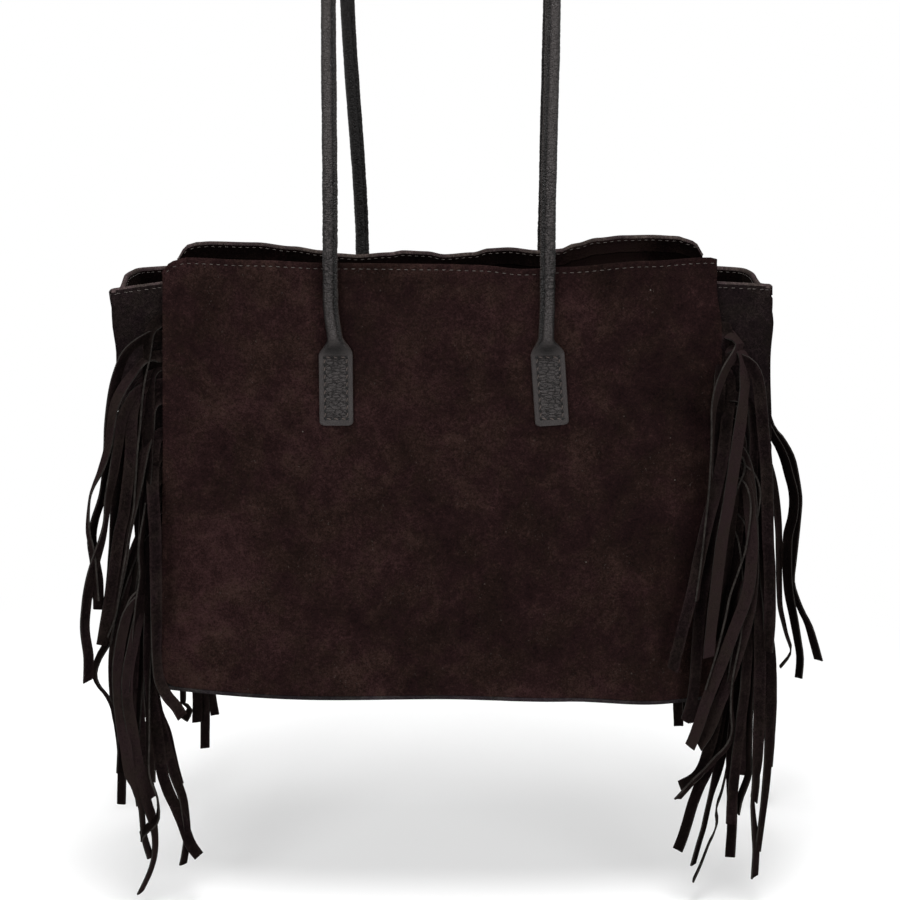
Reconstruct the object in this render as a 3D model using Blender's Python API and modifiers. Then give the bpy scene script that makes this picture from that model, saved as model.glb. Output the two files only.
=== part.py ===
# Fringed suede tote bag, hanging by its two rolled leather handles.
# Metres, +Z up, the front faces -Y. The origin is the point that the bag hangs from:
# the underside of the two handle arches, midway between them.

import math
import random

import bmesh
import bpy
from mathutils import Vector
from mathutils.bvhtree import BVHTree

# Body: heights
RIM_DROP = 0.272  # hanging point down to the rim at the middle of the front
PANEL_HEIGHT = 0.3105
FRONT_RIM = (
    (-1.0, 0.0035), (-0.55, 0.0005), (0.0, 0.0), (0.31, -0.003), (0.65, 0.0005), (1.0, 0.0038),
)  # share of the half width, rise of the rim
BACK_RIM = (
    (-1.0, 0.004), (-0.34, -0.007), (-0.15, -0.003), (0.02, -0.006),
    (0.28, -0.001), (0.4, -0.003), (0.65, 0.006), (0.86, 0.008), (1.0, 0.006),
)
RIM_CORNER = 0.008

# Body: plan, to the outer faces
RIM_HALF_WIDTH = 0.190  # centre to a side seam
BASE_HALF_WIDTH = 0.202
RIM_HALF_DEPTH = 0.058  # centre plane to a side seam
BASE_HALF_DEPTH = 0.062
RIM_BOW = 0.012  # a panel's middle stands out from its side seams by this
BASE_BOW = 0.020
BACK_WAVE = 0.7  # the back rim sways inwards by this share of its rise
WAVE_DEPTH = 0.090  # the sway dies out over this height

# Suede
SUEDE = 0.0018
HEM_DEPTH = 0.013
HEM_THICKNESS = 0.0034
HEM_STEP = 0.0006
BASE_THICKNESS = 0.003
SEAM_LAP = 0.008
GAP = 0.0003
INSET = 0.0006  # a hidden edge stays this far inside the one that covers it

# Gussets: each folds out past the panels as a wing that narrows towards the base
GUSSET_DROP = 0.0135  # rim of the panels' middle down to a gusset's rim at the seam
WING_OUT = 0.040
WING_OUT_AT_BASE = 0.010
LEFT_WING_TAPER = 1.2
RIGHT_WING_TAPER = 3.0
WING_SETBACK = 0.005
WING_DIP = 0.006  # the rim dips at the wing's front corner
WING_BULGE = 0.004
FRONT_CREASE = 0.004
BACK_CREASE = 0.016
SIDE_ROUNDING = 0.030
MOST_CUT = 0.45  # share of a side that a rounded corner may take

# Handles
STRAP_RADIUS = 0.0043
SEAM_FLANGE = 0.0014
FLANGE_BACK = 0.8  # share of its reach at which the flange is as thick as it is wide
ARCH_RISE = 0.080
ARCH_GAP = 0.0024  # between the two straps at the hanging point
TAB_WIDTH = 0.0235
TAB_LENGTH = 0.053
TAB_THICKNESS = 0.003
TAB_CORNER = 0.003
TAB_SQUARING = (1.2, 2.7)  # a circle stretched by these and clipped makes the tab's section
TAB_DROP = 0.059  # rim down to a tab's top edge
SHOULDER = 0.011  # over this length the strap flattens into the tab
FRONT_LEGS = (-0.0745, 0.0745)
BACK_LEGS = (-0.0595, 0.0825)
FRONT_TAB_SHIFT = (0.0034, 0.0005)  # tab centres from their strap, towards +X
BACK_TAB_SHIFT = (0.0015, -0.0015)
FRONT_TAB_TILT = (0.0, 3.0)  # degrees
BACK_TAB_TILT = (0.0, 0.0)

# Fringes
STRANDS = 21
STRAND_WIDTH = 0.009
STRAND_THICKNESS = 0.0013
STRAND_LENGTH = 0.226
LENGTH_SPREAD = (0.95, 1.04)
FRINGE_TOP = 0.040  # rim down to the highest strand
FRINGE_BOTTOM = 0.246  # rim down to the lowest strand
FAN_START = math.radians(4)  # from straight out sideways, turning away from the bag
FAN_END = math.radians(124)
FAN_STRIDE = 8  # neighbours along the seam lie this many places apart in the fan
FAN_PIVOT = (0.007, 0.0035)  # out from the seam, and away from the panel
ROOT_TURNS = ((0.1, 0.3, 0.02), (0.5, 0.75, 0.35))  # share of the fan's turn, and of the pivot
BEND_START = 0.003
BEND_RADIUS = 0.013
TIP_CUT = 0.005
STRAND_LEAN = (0.06, 0.26)  # least and most, in radians from hanging straight
FRONT_LEFT_SWINGS = {0: 0.44, 3: 0.38}  # strand from the top, its wider lean
FRONT_RIGHT_SWINGS = {0: 0.34}
BACK_LEFT_SWINGS = {}
BACK_RIGHT_SWINGS = {0: 1.2, 3: 0.75}

# Mesh divisions
PANEL_COLUMNS = 26
EDGE_COLUMNS = (0.0, 0.0012, 0.004)  # distances in from a panel's side edge
PANEL_ROWS = 10
GUSSET_ROWS = 10
PLAN_STEPS = 4  # in each rounded fold of a gusset
BASE_STEPS = 8  # from the middle of the base to a side seam
SECTION_POINTS = 16
TAB_END_STEPS = 3
TAB_STEPS = 3
SHOULDER_STEPS = 5
LEG_STEPS = 4
LEAN_STEPS = 1
ARCH_STEPS = 14
BEND_STEPS = 3
HANGING_PIECES = 3
SHARP_ANGLE = math.radians(35)

RIM_Z = -RIM_DROP
BASE_Z = RIM_Z - PANEL_HEIGHT
LAP_DEPTH = SUEDE + STRAND_THICKNESS + 2 * GAP  # panel's outer face in to the gusset's


def blend(start, end, share):
    return start + (end - start) * share


def ease(share):
    share = min(max(share, 0.0), 1.0)
    return share * share * (3 - 2 * share)


def along_keys(keys, place):
    for (before, low), (after, high) in zip(keys, keys[1:]):
        if place <= after:
            return blend(low, high, ease((place - before) / (after - before)))
    return keys[-1][1]


def depth_share(z):
    return (RIM_Z - z) / PANEL_HEIGHT


def seam_place(z):
    # distance of a side seam from the centre, sideways and front to back
    share = depth_share(z)
    return (
        blend(RIM_HALF_WIDTH, BASE_HALF_WIDTH, share),
        blend(RIM_HALF_DEPTH, BASE_HALF_DEPTH, share),
    )


def panel_out(face, x, z):
    # distance of a panel's outer face from the centre plane; face is -1 front, 1 back
    # inside the side seams it is bowed, and over the lap of a seam it runs straight
    half_width, half_depth = seam_place(z)
    bowed_width = half_width - SEAM_LAP
    across = max(-bowed_width, min(bowed_width, x)) / half_width
    bow = blend(RIM_BOW, BASE_BOW, depth_share(z))
    out = half_depth + bow * (1 - abs(across) ** 3)
    if face > 0:
        fade = math.exp(-max(RIM_Z - z, 0.0) / WAVE_DEPTH) * (1 - across**4)
        out += BACK_WAVE * along_keys(BACK_RIM, across) * fade
    return blend(out, half_depth, max(0.0, abs(x) - bowed_width) / SEAM_LAP)


def rim_z(face, x):
    return RIM_Z + along_keys(BACK_RIM if face > 0 else FRONT_RIM, x / RIM_HALF_WIDTH)


def corner_drop(x):
    # how far the rounded top corner lies below the rim
    into_corner = max(0.0, RIM_CORNER - (RIM_HALF_WIDTH - abs(x)))
    return RIM_CORNER - math.sqrt(RIM_CORNER**2 - into_corner**2)


def material(name, colour, roughness):
    finish = bpy.data.materials.new(name)
    finish.use_nodes = True
    shader = finish.node_tree.nodes["Principled BSDF"]
    shader.inputs["Base Color"].default_value = (*colour, 1)
    shader.inputs["Roughness"].default_value = roughness
    shader.inputs["Metallic"].default_value = 0
    finish.diffuse_color = (*colour, 1)
    return finish


def put(name, mesh_or_curve, finish):
    obj = bpy.data.objects.new(name, mesh_or_curve)
    mesh_or_curve.materials.append(finish)
    bag.objects.link(obj)
    return obj


def from_bmesh(name, bm, finish):
    mesh = bpy.data.meshes.new(name)
    bm.to_mesh(mesh)
    bm.free()
    mesh.shade_smooth()
    mesh.set_sharp_from_angle(angle=SHARP_ANGLE)
    return put(name, mesh, finish)


def suede_sheet(name, columns, rows, place, turned, finish):
    # a grid laid on the outer face by place(column, row); row 0 to 1 is the turned hem
    bm = bmesh.new()
    bmesh.ops.create_grid(bm, x_segments=columns, y_segments=rows, size=1)
    thickness = bm.verts.layers.deform.verify()
    for vert in bm.verts:
        column = round((vert.co.x + 1) / 2 * columns)
        row = round((1 - vert.co.y) / 2 * rows)
        vert.co = place(column, row)
        vert[thickness][0] = 1.0 if row < 2 else SUEDE / HEM_THICKNESS
    if turned:
        bmesh.ops.reverse_faces(bm, faces=bm.faces)
    sheet = from_bmesh(name, bm, finish)
    sheet.vertex_groups.new(name="thickness")
    wall = sheet.modifiers.new("wall", "SOLIDIFY")
    wall.thickness = HEM_THICKNESS
    wall.offset = -1
    wall.use_even_offset = True
    wall.vertex_group = "thickness"
    return sheet


def sheet_z(rim, drop, row, rows):
    # rows follow the hem first, then run evenly down to the base
    if row < 3:
        return rim - (drop, HEM_DEPTH, HEM_DEPTH + HEM_STEP)[row]
    return blend(rim - HEM_DEPTH - HEM_STEP, BASE_Z, (row - 2) / (rows - 2))


def column_x(column, half_width):
    # close columns over the seam laps, for the rounded corners, and wider ones between
    from_edge = min(column, PANEL_COLUMNS - column)
    side = 1 if 2 * column > PANEL_COLUMNS else -1
    if from_edge < len(EDGE_COLUMNS):
        return side * (half_width - EDGE_COLUMNS[from_edge])
    inner = PANEL_COLUMNS - 2 * len(EDGE_COLUMNS)
    share = 2 * (column - len(EDGE_COLUMNS)) / inner - 1
    return (half_width - SEAM_LAP) * math.sin(math.pi / 2 * share)


def add_panel(name, face):
    def place(column, row):
        rim_x = column_x(column, RIM_HALF_WIDTH)
        z = sheet_z(rim_z(face, rim_x), corner_drop(rim_x), row, PANEL_ROWS)
        x = column_x(column, seam_place(z)[0])
        return Vector((x, face * panel_out(face, x, z), z))

    return suede_sheet(name, PANEL_COLUMNS, PANEL_ROWS, place, face > 0, body_suede)


def rounded(corners, cuts):
    # points along a broken line, each cut corner turned into a smooth curve
    points = [corners[0]]
    for before, corner, after, cut in zip(corners, corners[1:], corners[2:], cuts):
        if not cut:
            points.append(corner)
            continue
        cut = min(cut, MOST_CUT * (before - corner).length, MOST_CUT * (after - corner).length)
        start = corner + (before - corner).normalized() * cut
        end = corner + (after - corner).normalized() * cut
        for step in range(PLAN_STEPS + 1):
            share = step / PLAN_STEPS
            points.append(start.lerp(corner, share).lerp(corner.lerp(end, share), share))
    points.append(corners[-1])
    return points


def wing_out(side, z):
    taper = RIGHT_WING_TAPER if side > 0 else LEFT_WING_TAPER
    share = max(depth_share(z), 0.0)
    return blend(WING_OUT, WING_OUT_AT_BASE, share**taper)


def gusset_plan(side, z):
    # outer face of a gusset at one height, from the front seam round to the back seam
    seam_x, seam_y = seam_place(z)
    lapped_x = seam_x - SEAM_LAP
    out = wing_out(side, z)
    lap_y = seam_y - LAP_DEPTH
    wing_y = lap_y - WING_SETBACK
    corners = [
        Vector((lapped_x, LAP_DEPTH - panel_out(-1, lapped_x, z))),
        Vector((seam_x, -lap_y)),
        Vector((seam_x + out, -wing_y)),
        Vector((seam_x + out + WING_BULGE, 0)),
        Vector((seam_x + out, wing_y)),
        Vector((seam_x, lap_y)),
        Vector((lapped_x, panel_out(1, side * lapped_x, z) - LAP_DEPTH)),
    ]
    return rounded(corners, (0, FRONT_CREASE, SIDE_ROUNDING, BACK_CREASE, 0))


def add_gusset(name, side):
    columns = len(gusset_plan(side, RIM_Z)) - 1

    def place(column, row):
        plan = gusset_plan(side, RIM_Z)
        crease = Vector((plan[1].x + WING_OUT, plan[1].y))
        near_crease = 1 - (plan[column] - crease).length / WING_OUT
        rim = RIM_Z - GUSSET_DROP - WING_DIP * max(0.0, near_crease)
        z = sheet_z(rim, 0.0, row, GUSSET_ROWS)
        point = gusset_plan(side, z)[column]
        return Vector((side * point.x, point.y, z))

    return suede_sheet(name, columns, GUSSET_ROWS, place, side < 0, side_suede)


def add_base():
    # the base reaches out under the lower edges of the panels and the gussets
    half_width = seam_place(BASE_Z)[0]
    outline = []
    for side in (1, -1):
        turns = [math.pi / 2 * step / BASE_STEPS for step in range(BASE_STEPS)]
        edge = [side * half_width * math.sin(turn) for turn in turns]
        front = [Vector((x, -panel_out(-1, x, BASE_Z))) for x in edge]
        back = [Vector((x, panel_out(1, x, BASE_Z))) for x in edge]
        end = [Vector((side * p.x, p.y)) for p in gusset_plan(side, BASE_Z)[2:-2]]
        half = front + end + back[::-1]
        outline += half if side > 0 else half[::-1][1:-1]
    curve = bpy.data.curves.new("base_panel", "CURVE")
    curve.dimensions = "2D"
    curve.fill_mode = "BOTH"
    curve.extrude = BASE_THICKNESS / 2
    spline = curve.splines.new("POLY")
    spline.points.add(len(outline) - 1)
    for point, corner in zip(spline.points, outline):
        point.co = (corner.x, corner.y, 0, 1)
    spline.use_cyclic_u = True
    base = put("base_panel", curve, base_suede)
    base.location.z = BASE_Z - GAP - BASE_THICKNESS / 2
    return base


def strap_section():
    # round strap with a sewn flange towards the inside of the loop, as (inwards, outwards)
    points = []
    for step in range(SECTION_POINTS):
        turn = 2 * math.pi * step / SECTION_POINTS
        points.append((STRAP_RADIUS * math.cos(turn), STRAP_RADIUS * math.sin(turn)))
    points[0] = (STRAP_RADIUS + SEAM_FLANGE, 0.0)
    points[1] = (STRAP_RADIUS + FLANGE_BACK * SEAM_FLANGE, SEAM_FLANGE / 2)
    points[-1] = (STRAP_RADIUS + FLANGE_BACK * SEAM_FLANGE, -SEAM_FLANGE / 2)
    return points


def tab_section(width):
    # rectangle with its corners at the second point of each quarter
    points = []
    for step in range(SECTION_POINTS):
        turn = 2 * math.pi * step / SECTION_POINTS
        inwards = max(-1.0, min(1.0, TAB_SQUARING[0] * math.cos(turn)))
        outwards = max(-1.0, min(1.0, TAB_SQUARING[1] * math.sin(turn)))
        points.append((inwards * width / 2, outwards * TAB_THICKNESS / 2))
    return points


def seat_out(panel_tree, face, x, z):
    # a panel's outer face as built, so that what lies on it follows its facets
    z = min(z, rim_z(face, x) - INSET)
    hit = panel_tree.ray_cast(Vector((x, face, z)), Vector((0, -face, 0)))[0]
    return abs(hit.y) + GAP


def leg_rings(panel_tree, face, leg_x, tab_shift, tab_tilt):
    # one leg from the bottom of its tab up to the rim, lying on the panel
    inwards = -1 if leg_x > 0 else 1
    tab_top = RIM_Z - TAB_DROP
    tab_end = tab_top - TAB_LENGTH
    turns = [math.pi / 2 * step / TAB_END_STEPS for step in range(TAB_END_STEPS + 1)]
    heights = [tab_end + TAB_CORNER * (1 - math.cos(turn)) for turn in turns]
    for upper, steps in ((tab_top, TAB_STEPS), (tab_top + SHOULDER, SHOULDER_STEPS), (RIM_Z, LEG_STEPS)):
        lower = heights[-1]
        heights += [blend(lower, upper, step / steps) for step in range(1, steps + 1)]
    rings = []
    for z in heights:
        round_share = ease((z - tab_top) / SHOULDER)
        into_end = max(0.0, TAB_CORNER - (z - tab_end))
        rounding = TAB_CORNER - math.sqrt(TAB_CORNER**2 - into_end**2)
        tab = tab_section(TAB_WIDTH - 2 * rounding)
        tilt = math.tan(math.radians(tab_tilt)) * max(0.0, tab_top - z)
        centre_x = leg_x + tab_shift * (1 - round_share) + tilt
        half = blend(TAB_THICKNESS / 2, STRAP_RADIUS, round_share)
        ring = []
        for flat, full in zip(tab, strap_section()):
            x = centre_x + inwards * blend(flat[0], full[0], round_share)
            out = half + blend(flat[1], full[1], round_share)
            ring.append(Vector((x, face * (seat_out(panel_tree, face, x, z) + out), z)))
        rings.append(ring)
    return rings


def arch_rings(panel_tree, face, legs):
    # from the rim on the left over the arch to the rim on the right, leaning in to the top
    middle = (legs[0] + legs[1]) / 2
    half_span = (legs[1] - legs[0]) / 2
    top_z = STRAP_RADIUS + SEAM_FLANGE
    spring_z = top_z - ARCH_RISE
    lean_z = RIM_Z + 2 * STRAP_RADIUS
    path = []
    for step in range(LEAN_STEPS):
        path.append((legs[0], blend(lean_z, spring_z, step / LEAN_STEPS)))
    for step in range(ARCH_STEPS + 1):
        turn = math.pi * step / ARCH_STEPS
        path.append((middle - half_span * math.cos(turn), spring_z + ARCH_RISE * math.sin(turn)))
    for step in range(LEAN_STEPS):
        path.append((legs[1], blend(spring_z, lean_z, (step + 1) / LEAN_STEPS)))
    foot_left, foot_right = (seat_out(panel_tree, face, x, RIM_Z) + STRAP_RADIUS for x in legs)
    top_out = STRAP_RADIUS + ARCH_GAP / 2
    centres = []
    for x, z in path:
        foot = blend(foot_left, foot_right, (x - legs[0]) / (legs[1] - legs[0]))
        lean = (z - lean_z) / (top_z - lean_z)
        centres.append(Vector((x, face * blend(foot, top_out, lean), z)))
    rings = []
    for index, centre in enumerate(centres):
        before = centres[max(index - 1, 0)]
        after = centres[min(index + 1, len(centres) - 1)]
        along = (after - before).normalized()
        out = Vector((0, face, 0))
        inwards = along.cross(out) * -face
        inwards.normalize()
        out = inwards.cross(along) * -face
        rings.append([centre + inwards * u + out * v for u, v in strap_section()])
    return rings


def add_handle(name, panel, face, legs, tab_shift, tab_tilt):
    panel_tree = BVHTree.FromObject(panel, bpy.context.evaluated_depsgraph_get())
    left, right = (
        leg_rings(panel_tree, face, x, shift, tilt)
        for x, shift, tilt in zip(legs, tab_shift, tab_tilt)
    )
    rings = left + arch_rings(panel_tree, face, legs) + right[::-1]
    bm = bmesh.new()
    loops = [[bm.verts.new(point) for point in ring] for ring in rings]
    for ring, following in zip(loops, loops[1:]):
        for step in range(SECTION_POINTS):
            after = (step + 1) % SECTION_POINTS
            bm.faces.new((ring[step], ring[after], following[after], following[step]))
    bm.faces.new(loops[0])
    bm.faces.new(loops[-1])
    bmesh.ops.recalc_face_normals(bm, faces=bm.faces)
    return from_bmesh(name, bm, handle_leather)


def strand_ring(centre, side, face, fan, drop, width):
    # four corners of a strand's section: fan turns it round the seam, drop from level to hanging
    outwards = Vector((side * math.cos(fan), face * math.sin(fan), 0))
    normal = Vector((-side * math.sin(fan), face * math.cos(fan), 0))
    across = outwards * math.sin(drop) + Vector((0, 0, math.cos(drop)))
    half_width, half_thickness = across * width / 2, normal * STRAND_THICKNESS / 2
    return [
        centre + half_width + half_thickness,
        centre - half_width + half_thickness,
        centre - half_width - half_thickness,
        centre + half_width - half_thickness,
    ]


def strand_rings(side, face, seat_z, fan, lean, length, width):
    # out of the seam, round to its own direction, over in a bend, then down to a slanted tip
    seam_x, seam_y = seam_place(seat_z)
    root_y = seam_y - SUEDE - GAP - STRAND_THICKNESS / 2

    def out_of_seam(out, away):
        return Vector((side * (seam_x + out), face * (root_y + away), seat_z))

    rings = []
    for turn_share, out_share, away_share in ROOT_TURNS:
        centre = out_of_seam(out_share * FAN_PIVOT[0], away_share * FAN_PIVOT[1])
        rings.append(strand_ring(centre, side, face, turn_share * fan, 0, width))
    outwards = Vector((side * math.cos(fan), face * math.sin(fan), 0))
    place = out_of_seam(*FAN_PIVOT) + outwards * BEND_START
    steepest = math.pi / 2 - lean
    for step in range(BEND_STEPS + 1):
        drop = steepest * step / BEND_STEPS
        bent = (outwards * math.sin(drop) - Vector((0, 0, 1 - math.cos(drop)))) * BEND_RADIUS
        rings.append(strand_ring(place + bent, side, face, fan, drop, width))
    place += bent
    hanging = length - FAN_PIVOT[0] - BEND_START - BEND_RADIUS * steepest
    for step in range(1, HANGING_PIECES + 1):
        drop = math.pi / 2 - lean * (1 - step / HANGING_PIECES)
        place += (outwards * math.cos(drop) - Vector((0, 0, math.sin(drop)))) * (hanging / HANGING_PIECES)
        rings.append(strand_ring(place, side, face, fan, drop, width))
    for corner in (rings[-1][0], rings[-1][3]):
        corner.z -= TIP_CUT
    for corner in [corner for ring in rings for corner in ring]:
        # strands keep beside the seam, which leans out on its way down
        here_x, here_y = seam_place(corner.z)
        corner.x += side * (here_x - seam_x)
        corner.y += face * (here_y - seam_y)
    return rings


def add_fringe(name, side, face, swings, seed):
    # a strip sewn between panel and gusset, cut into strands over part of its height
    chance = random.Random(seed)
    top_z = RIM_Z - GUSSET_DROP - INSET
    bottom_z = BASE_Z + INSET
    seats = [
        RIM_Z - blend(FRINGE_TOP, FRINGE_BOTTOM, place / (STRANDS - 1)) for place in range(STRANDS)
    ]
    levels = [top_z]
    for seat in seats:
        levels += [seat + STRAND_WIDTH / 2, seat - STRAND_WIDTH / 2]
    levels.append(bottom_z)

    bm = bmesh.new()
    rings = []
    for z in levels:
        seam_x = seam_place(z)[0]
        ring = []
        for x, sunk in (
            (seam_x - INSET, 0), (seam_x - INSET, STRAND_THICKNESS),
            (seam_x - SEAM_LAP, STRAND_THICKNESS), (seam_x - SEAM_LAP, 0),
        ):
            away = panel_out(face, side * x, z) - SUEDE - GAP - sunk
            ring.append(bm.verts.new((side * x, face * away, z)))
        rings.append(ring)
    roots = []
    for index, (upper, lower) in enumerate(zip(rings, rings[1:])):
        for corner in range(4):
            after = (corner + 1) % 4
            quad = bm.faces.new((upper[corner], upper[after], lower[after], lower[corner]))
            if corner == 0 and index % 2 == 1:
                roots.append(quad)
    bm.faces.new(rings[0])
    bm.faces.new(rings[-1])

    for place, (seat, root) in enumerate(zip(seats, roots)):
        fan_share = (place * FAN_STRIDE % STRANDS) / (STRANDS - 1)
        fan = blend(FAN_START, FAN_END, fan_share)
        lean = swings.get(place, chance.uniform(*STRAND_LEAN))
        length = STRAND_LENGTH * chance.uniform(*LENGTH_SPREAD)
        last = root
        for corners in strand_rings(side, face, seat, fan, lean, length, STRAND_WIDTH):
            last = bmesh.ops.extrude_discrete_faces(bm, faces=[last])["faces"][0]
            for vert, corner in zip(last.verts, (corners[0], corners[3], corners[2], corners[1])):
                vert.co = corner
    bmesh.ops.recalc_face_normals(bm, faces=bm.faces)
    return from_bmesh(name, bm, fringe_suede)


for old in list(bpy.data.objects):
    bpy.data.objects.remove(old, do_unlink=True)

bag = bpy.data.collections.new("fringed_suede_bag")
bpy.context.scene.collection.children.link(bag)

body_suede = material("body_suede", (0.030, 0.017, 0.013), 0.95)
side_suede = material("side_suede", (0.022, 0.015, 0.013), 0.95)
base_suede = material("base_suede", (0.014, 0.011, 0.010), 0.95)
fringe_suede = material("fringe_suede", (0.024, 0.014, 0.011), 0.9)
handle_leather = material("handle_leather", (0.022, 0.018, 0.017), 0.5)

front_panel = add_panel("front_panel", -1)
back_panel = add_panel("back_panel", 1)
add_gusset("left_gusset", -1)
add_gusset("right_gusset", 1)
add_base()
add_handle("front_handle", front_panel, -1, FRONT_LEGS, FRONT_TAB_SHIFT, FRONT_TAB_TILT)
add_handle("back_handle", back_panel, 1, BACK_LEGS, BACK_TAB_SHIFT, BACK_TAB_TILT)
add_fringe("front_left_fringe", -1, -1, FRONT_LEFT_SWINGS, 3)
add_fringe("front_right_fringe", 1, -1, FRONT_RIGHT_SWINGS, 5)
add_fringe("back_left_fringe", -1, 1, BACK_LEFT_SWINGS, 8)
add_fringe("back_right_fringe", 1, 1, BACK_RIGHT_SWINGS, 13)
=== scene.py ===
# Fringed suede tote bag, hanging by its handles: the looks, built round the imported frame.
# Metres, +Z up, the front faces -Y. The bag hangs from the origin.

import math
import random

import bpy
from mathutils import Matrix, Vector, noise


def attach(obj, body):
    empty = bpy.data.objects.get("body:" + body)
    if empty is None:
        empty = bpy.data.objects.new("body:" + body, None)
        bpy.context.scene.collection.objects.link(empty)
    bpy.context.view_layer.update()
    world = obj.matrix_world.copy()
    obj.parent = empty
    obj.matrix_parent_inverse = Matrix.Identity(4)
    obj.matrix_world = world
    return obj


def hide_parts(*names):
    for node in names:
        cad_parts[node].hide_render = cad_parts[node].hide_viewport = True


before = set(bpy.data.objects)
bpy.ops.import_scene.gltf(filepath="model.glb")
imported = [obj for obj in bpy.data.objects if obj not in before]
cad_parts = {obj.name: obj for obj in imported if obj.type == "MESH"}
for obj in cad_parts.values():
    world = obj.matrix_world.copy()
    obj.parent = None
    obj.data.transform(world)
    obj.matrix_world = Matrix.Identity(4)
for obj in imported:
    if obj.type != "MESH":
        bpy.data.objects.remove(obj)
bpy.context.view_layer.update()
print("frame loaded:", len(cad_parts), "nodes")

mm = 0.001

# a sheet's material slots; Solidify gives a cut edge the slot after its face's
outerFace, insideFace, foldedRim, rawEdge = range(4)
facesInwards = -0.2  # a face belongs to the inside when it points this far the other way


# Shared by all pieces

def mix(low, high, share):
    return low + (high - low) * share


def smooth(share):
    share = min(max(share, 0.0), 1.0)
    return share * share * (3 - 2 * share)


def keyed(keys, place):
    # value at a place on the smooth curve through (place, value) keys
    if place <= keys[0][0]:
        return keys[0][1]
    for (before, low), (after, high) in zip(keys, keys[1:]):
        if place <= after:
            return mix(low, high, smooth((place - before) / (after - before)))
    return keys[-1][1]


def evenly(points, count):
    # the same line with count even pieces
    lengths = [0.0]
    for before, after in zip(points, points[1:]):
        lengths.append(lengths[-1] + (after - before).length)
    spots = []
    index = 0
    for step in range(count + 1):
        wanted = lengths[-1] * step / count
        while index < len(points) - 2 and lengths[index + 1] < wanted:
            index += 1
        piece = lengths[index + 1] - lengths[index]
        share = (wanted - lengths[index]) / piece if piece else 0.0
        spots.append(points[index].lerp(points[index + 1], share))
    return spots


def lineLength(points):
    return sum((after - before).length for before, after in zip(points, points[1:]))


def deselectAll():
    if bpy.context.mode != "OBJECT":
        bpy.ops.object.mode_set(mode="OBJECT")
    bpy.ops.object.select_all(action="DESELECT")


def work(piece):
    # makes one piece the selected and active one
    deselectAll()
    piece.select_set(True)
    bpy.context.view_layer.objects.active = piece


def applyModifier(piece, kind, **settings):
    work(piece)
    modifier = piece.modifiers.new(kind.lower(), kind)
    for name, value in settings.items():
        setattr(modifier, name, value)
    bpy.ops.object.modifier_apply(modifier=modifier.name)


def cutSheet(name, columns, rows):
    # a flat rectangle of leather, as a grid from -1 to 1 each way
    deselectAll()
    bpy.ops.mesh.primitive_grid_add(x_subdivisions=columns, y_subdivisions=rows, size=2)
    sheet = bpy.context.object
    sheet.name = sheet.data.name = name
    return sheet


def laySheet(sheet, columns, rows, place):
    # moves each point of the flat sheet to where it lies on the bag
    for vert in sheet.data.vertices:
        column = round((vert.co.x + 1) / 2 * columns)
        row = round((vert.co.y + 1) / 2 * rows)
        vert.co = place(column, row)


def addLooks(sheet, looks):
    # values at each point that the materials read
    for label, values in looks.items():
        sheet.data.attributes.new(label, "FLOAT", "POINT").data.foreach_set("value", values)


def turnOver(sheet):
    work(sheet)
    bpy.ops.object.mode_set(mode="EDIT")
    bpy.ops.mesh.select_all(action="SELECT")
    bpy.ops.mesh.flip_normals()
    bpy.ops.object.mode_set(mode="OBJECT")


def joinAll(name, pieces):
    deselectAll()
    for piece in pieces:
        piece.select_set(True)
    bpy.context.view_layer.objects.active = pieces[0]
    if len(pieces) > 1:
        bpy.ops.object.join()
    pieces[0].name = pieces[0].data.name = name
    return pieces[0]


def sheetRows(shape):
    # rows of faces in a folded sheet, from its lower edge over the rim to the hem's edge inside
    return sum(shape[part] for part in ("bodyRows", "hemRows", "foldRows", "insideRows"))


def markFold(sheet, shape):
    # while the sheet is flat, the rows that will go over its rim get the folded rim's material
    rows = sheetRows(shape)
    rimRow = shape["bodyRows"] + shape["hemRows"]
    for polygon in sheet.data.polygons:
        if rimRow < (polygon.center.y + 1) / 2 * rows < rimRow + shape["foldRows"] + 1:
            polygon.material_index = foldedRim


def finishSheet(sheet, outwards, *materials):
    # materials are those of the outer face, the inside, the folded rim and the raw edges
    for material in materials:
        sheet.data.materials.append(material)
    for polygon in sheet.data.polygons:
        if polygon.material_index in (outerFace + 1, foldedRim + 1):
            polygon.material_index = rawEdge
        elif polygon.material_index == outerFace:
            if polygon.normal.dot(outwards(polygon.center)) < facesInwards:
                polygon.material_index = insideFace


def smoothShade(piece, angle=40):
    work(piece)
    bpy.ops.object.shade_smooth_by_angle(angle=math.radians(angle))


def roundEdges(sheet, width, segments=2, angle=50):
    applyModifier(sheet, "BEVEL", width=width, segments=segments, limit_method="ANGLE",
                  angle_limit=math.radians(angle))
    smoothShade(sheet)


def hang(piece, nodes=()):
    # puts a finished piece on the bag, in the place of its CAD nodes
    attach(piece, "root")
    if nodes:
        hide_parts(*nodes)


# Materials

class Wire:
    # a node's output, so that shader maths reads as plain expressions
    def __init__(self, paint, socket):
        self.paint = paint
        self.socket = socket

    def sum(self, operation, first, second):
        return self.paint.node("ShaderNodeMath", {"operation": operation}, {0: first, 1: second})

    def __add__(self, other):
        return self.sum("ADD", self, other)

    def __radd__(self, other):
        return self.sum("ADD", other, self)

    def __sub__(self, other):
        return self.sum("SUBTRACT", self, other)

    def __rsub__(self, other):
        return self.sum("SUBTRACT", other, self)

    def __mul__(self, other):
        return self.sum("MULTIPLY", self, other)

    def __rmul__(self, other):
        return self.sum("MULTIPLY", other, self)


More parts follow.
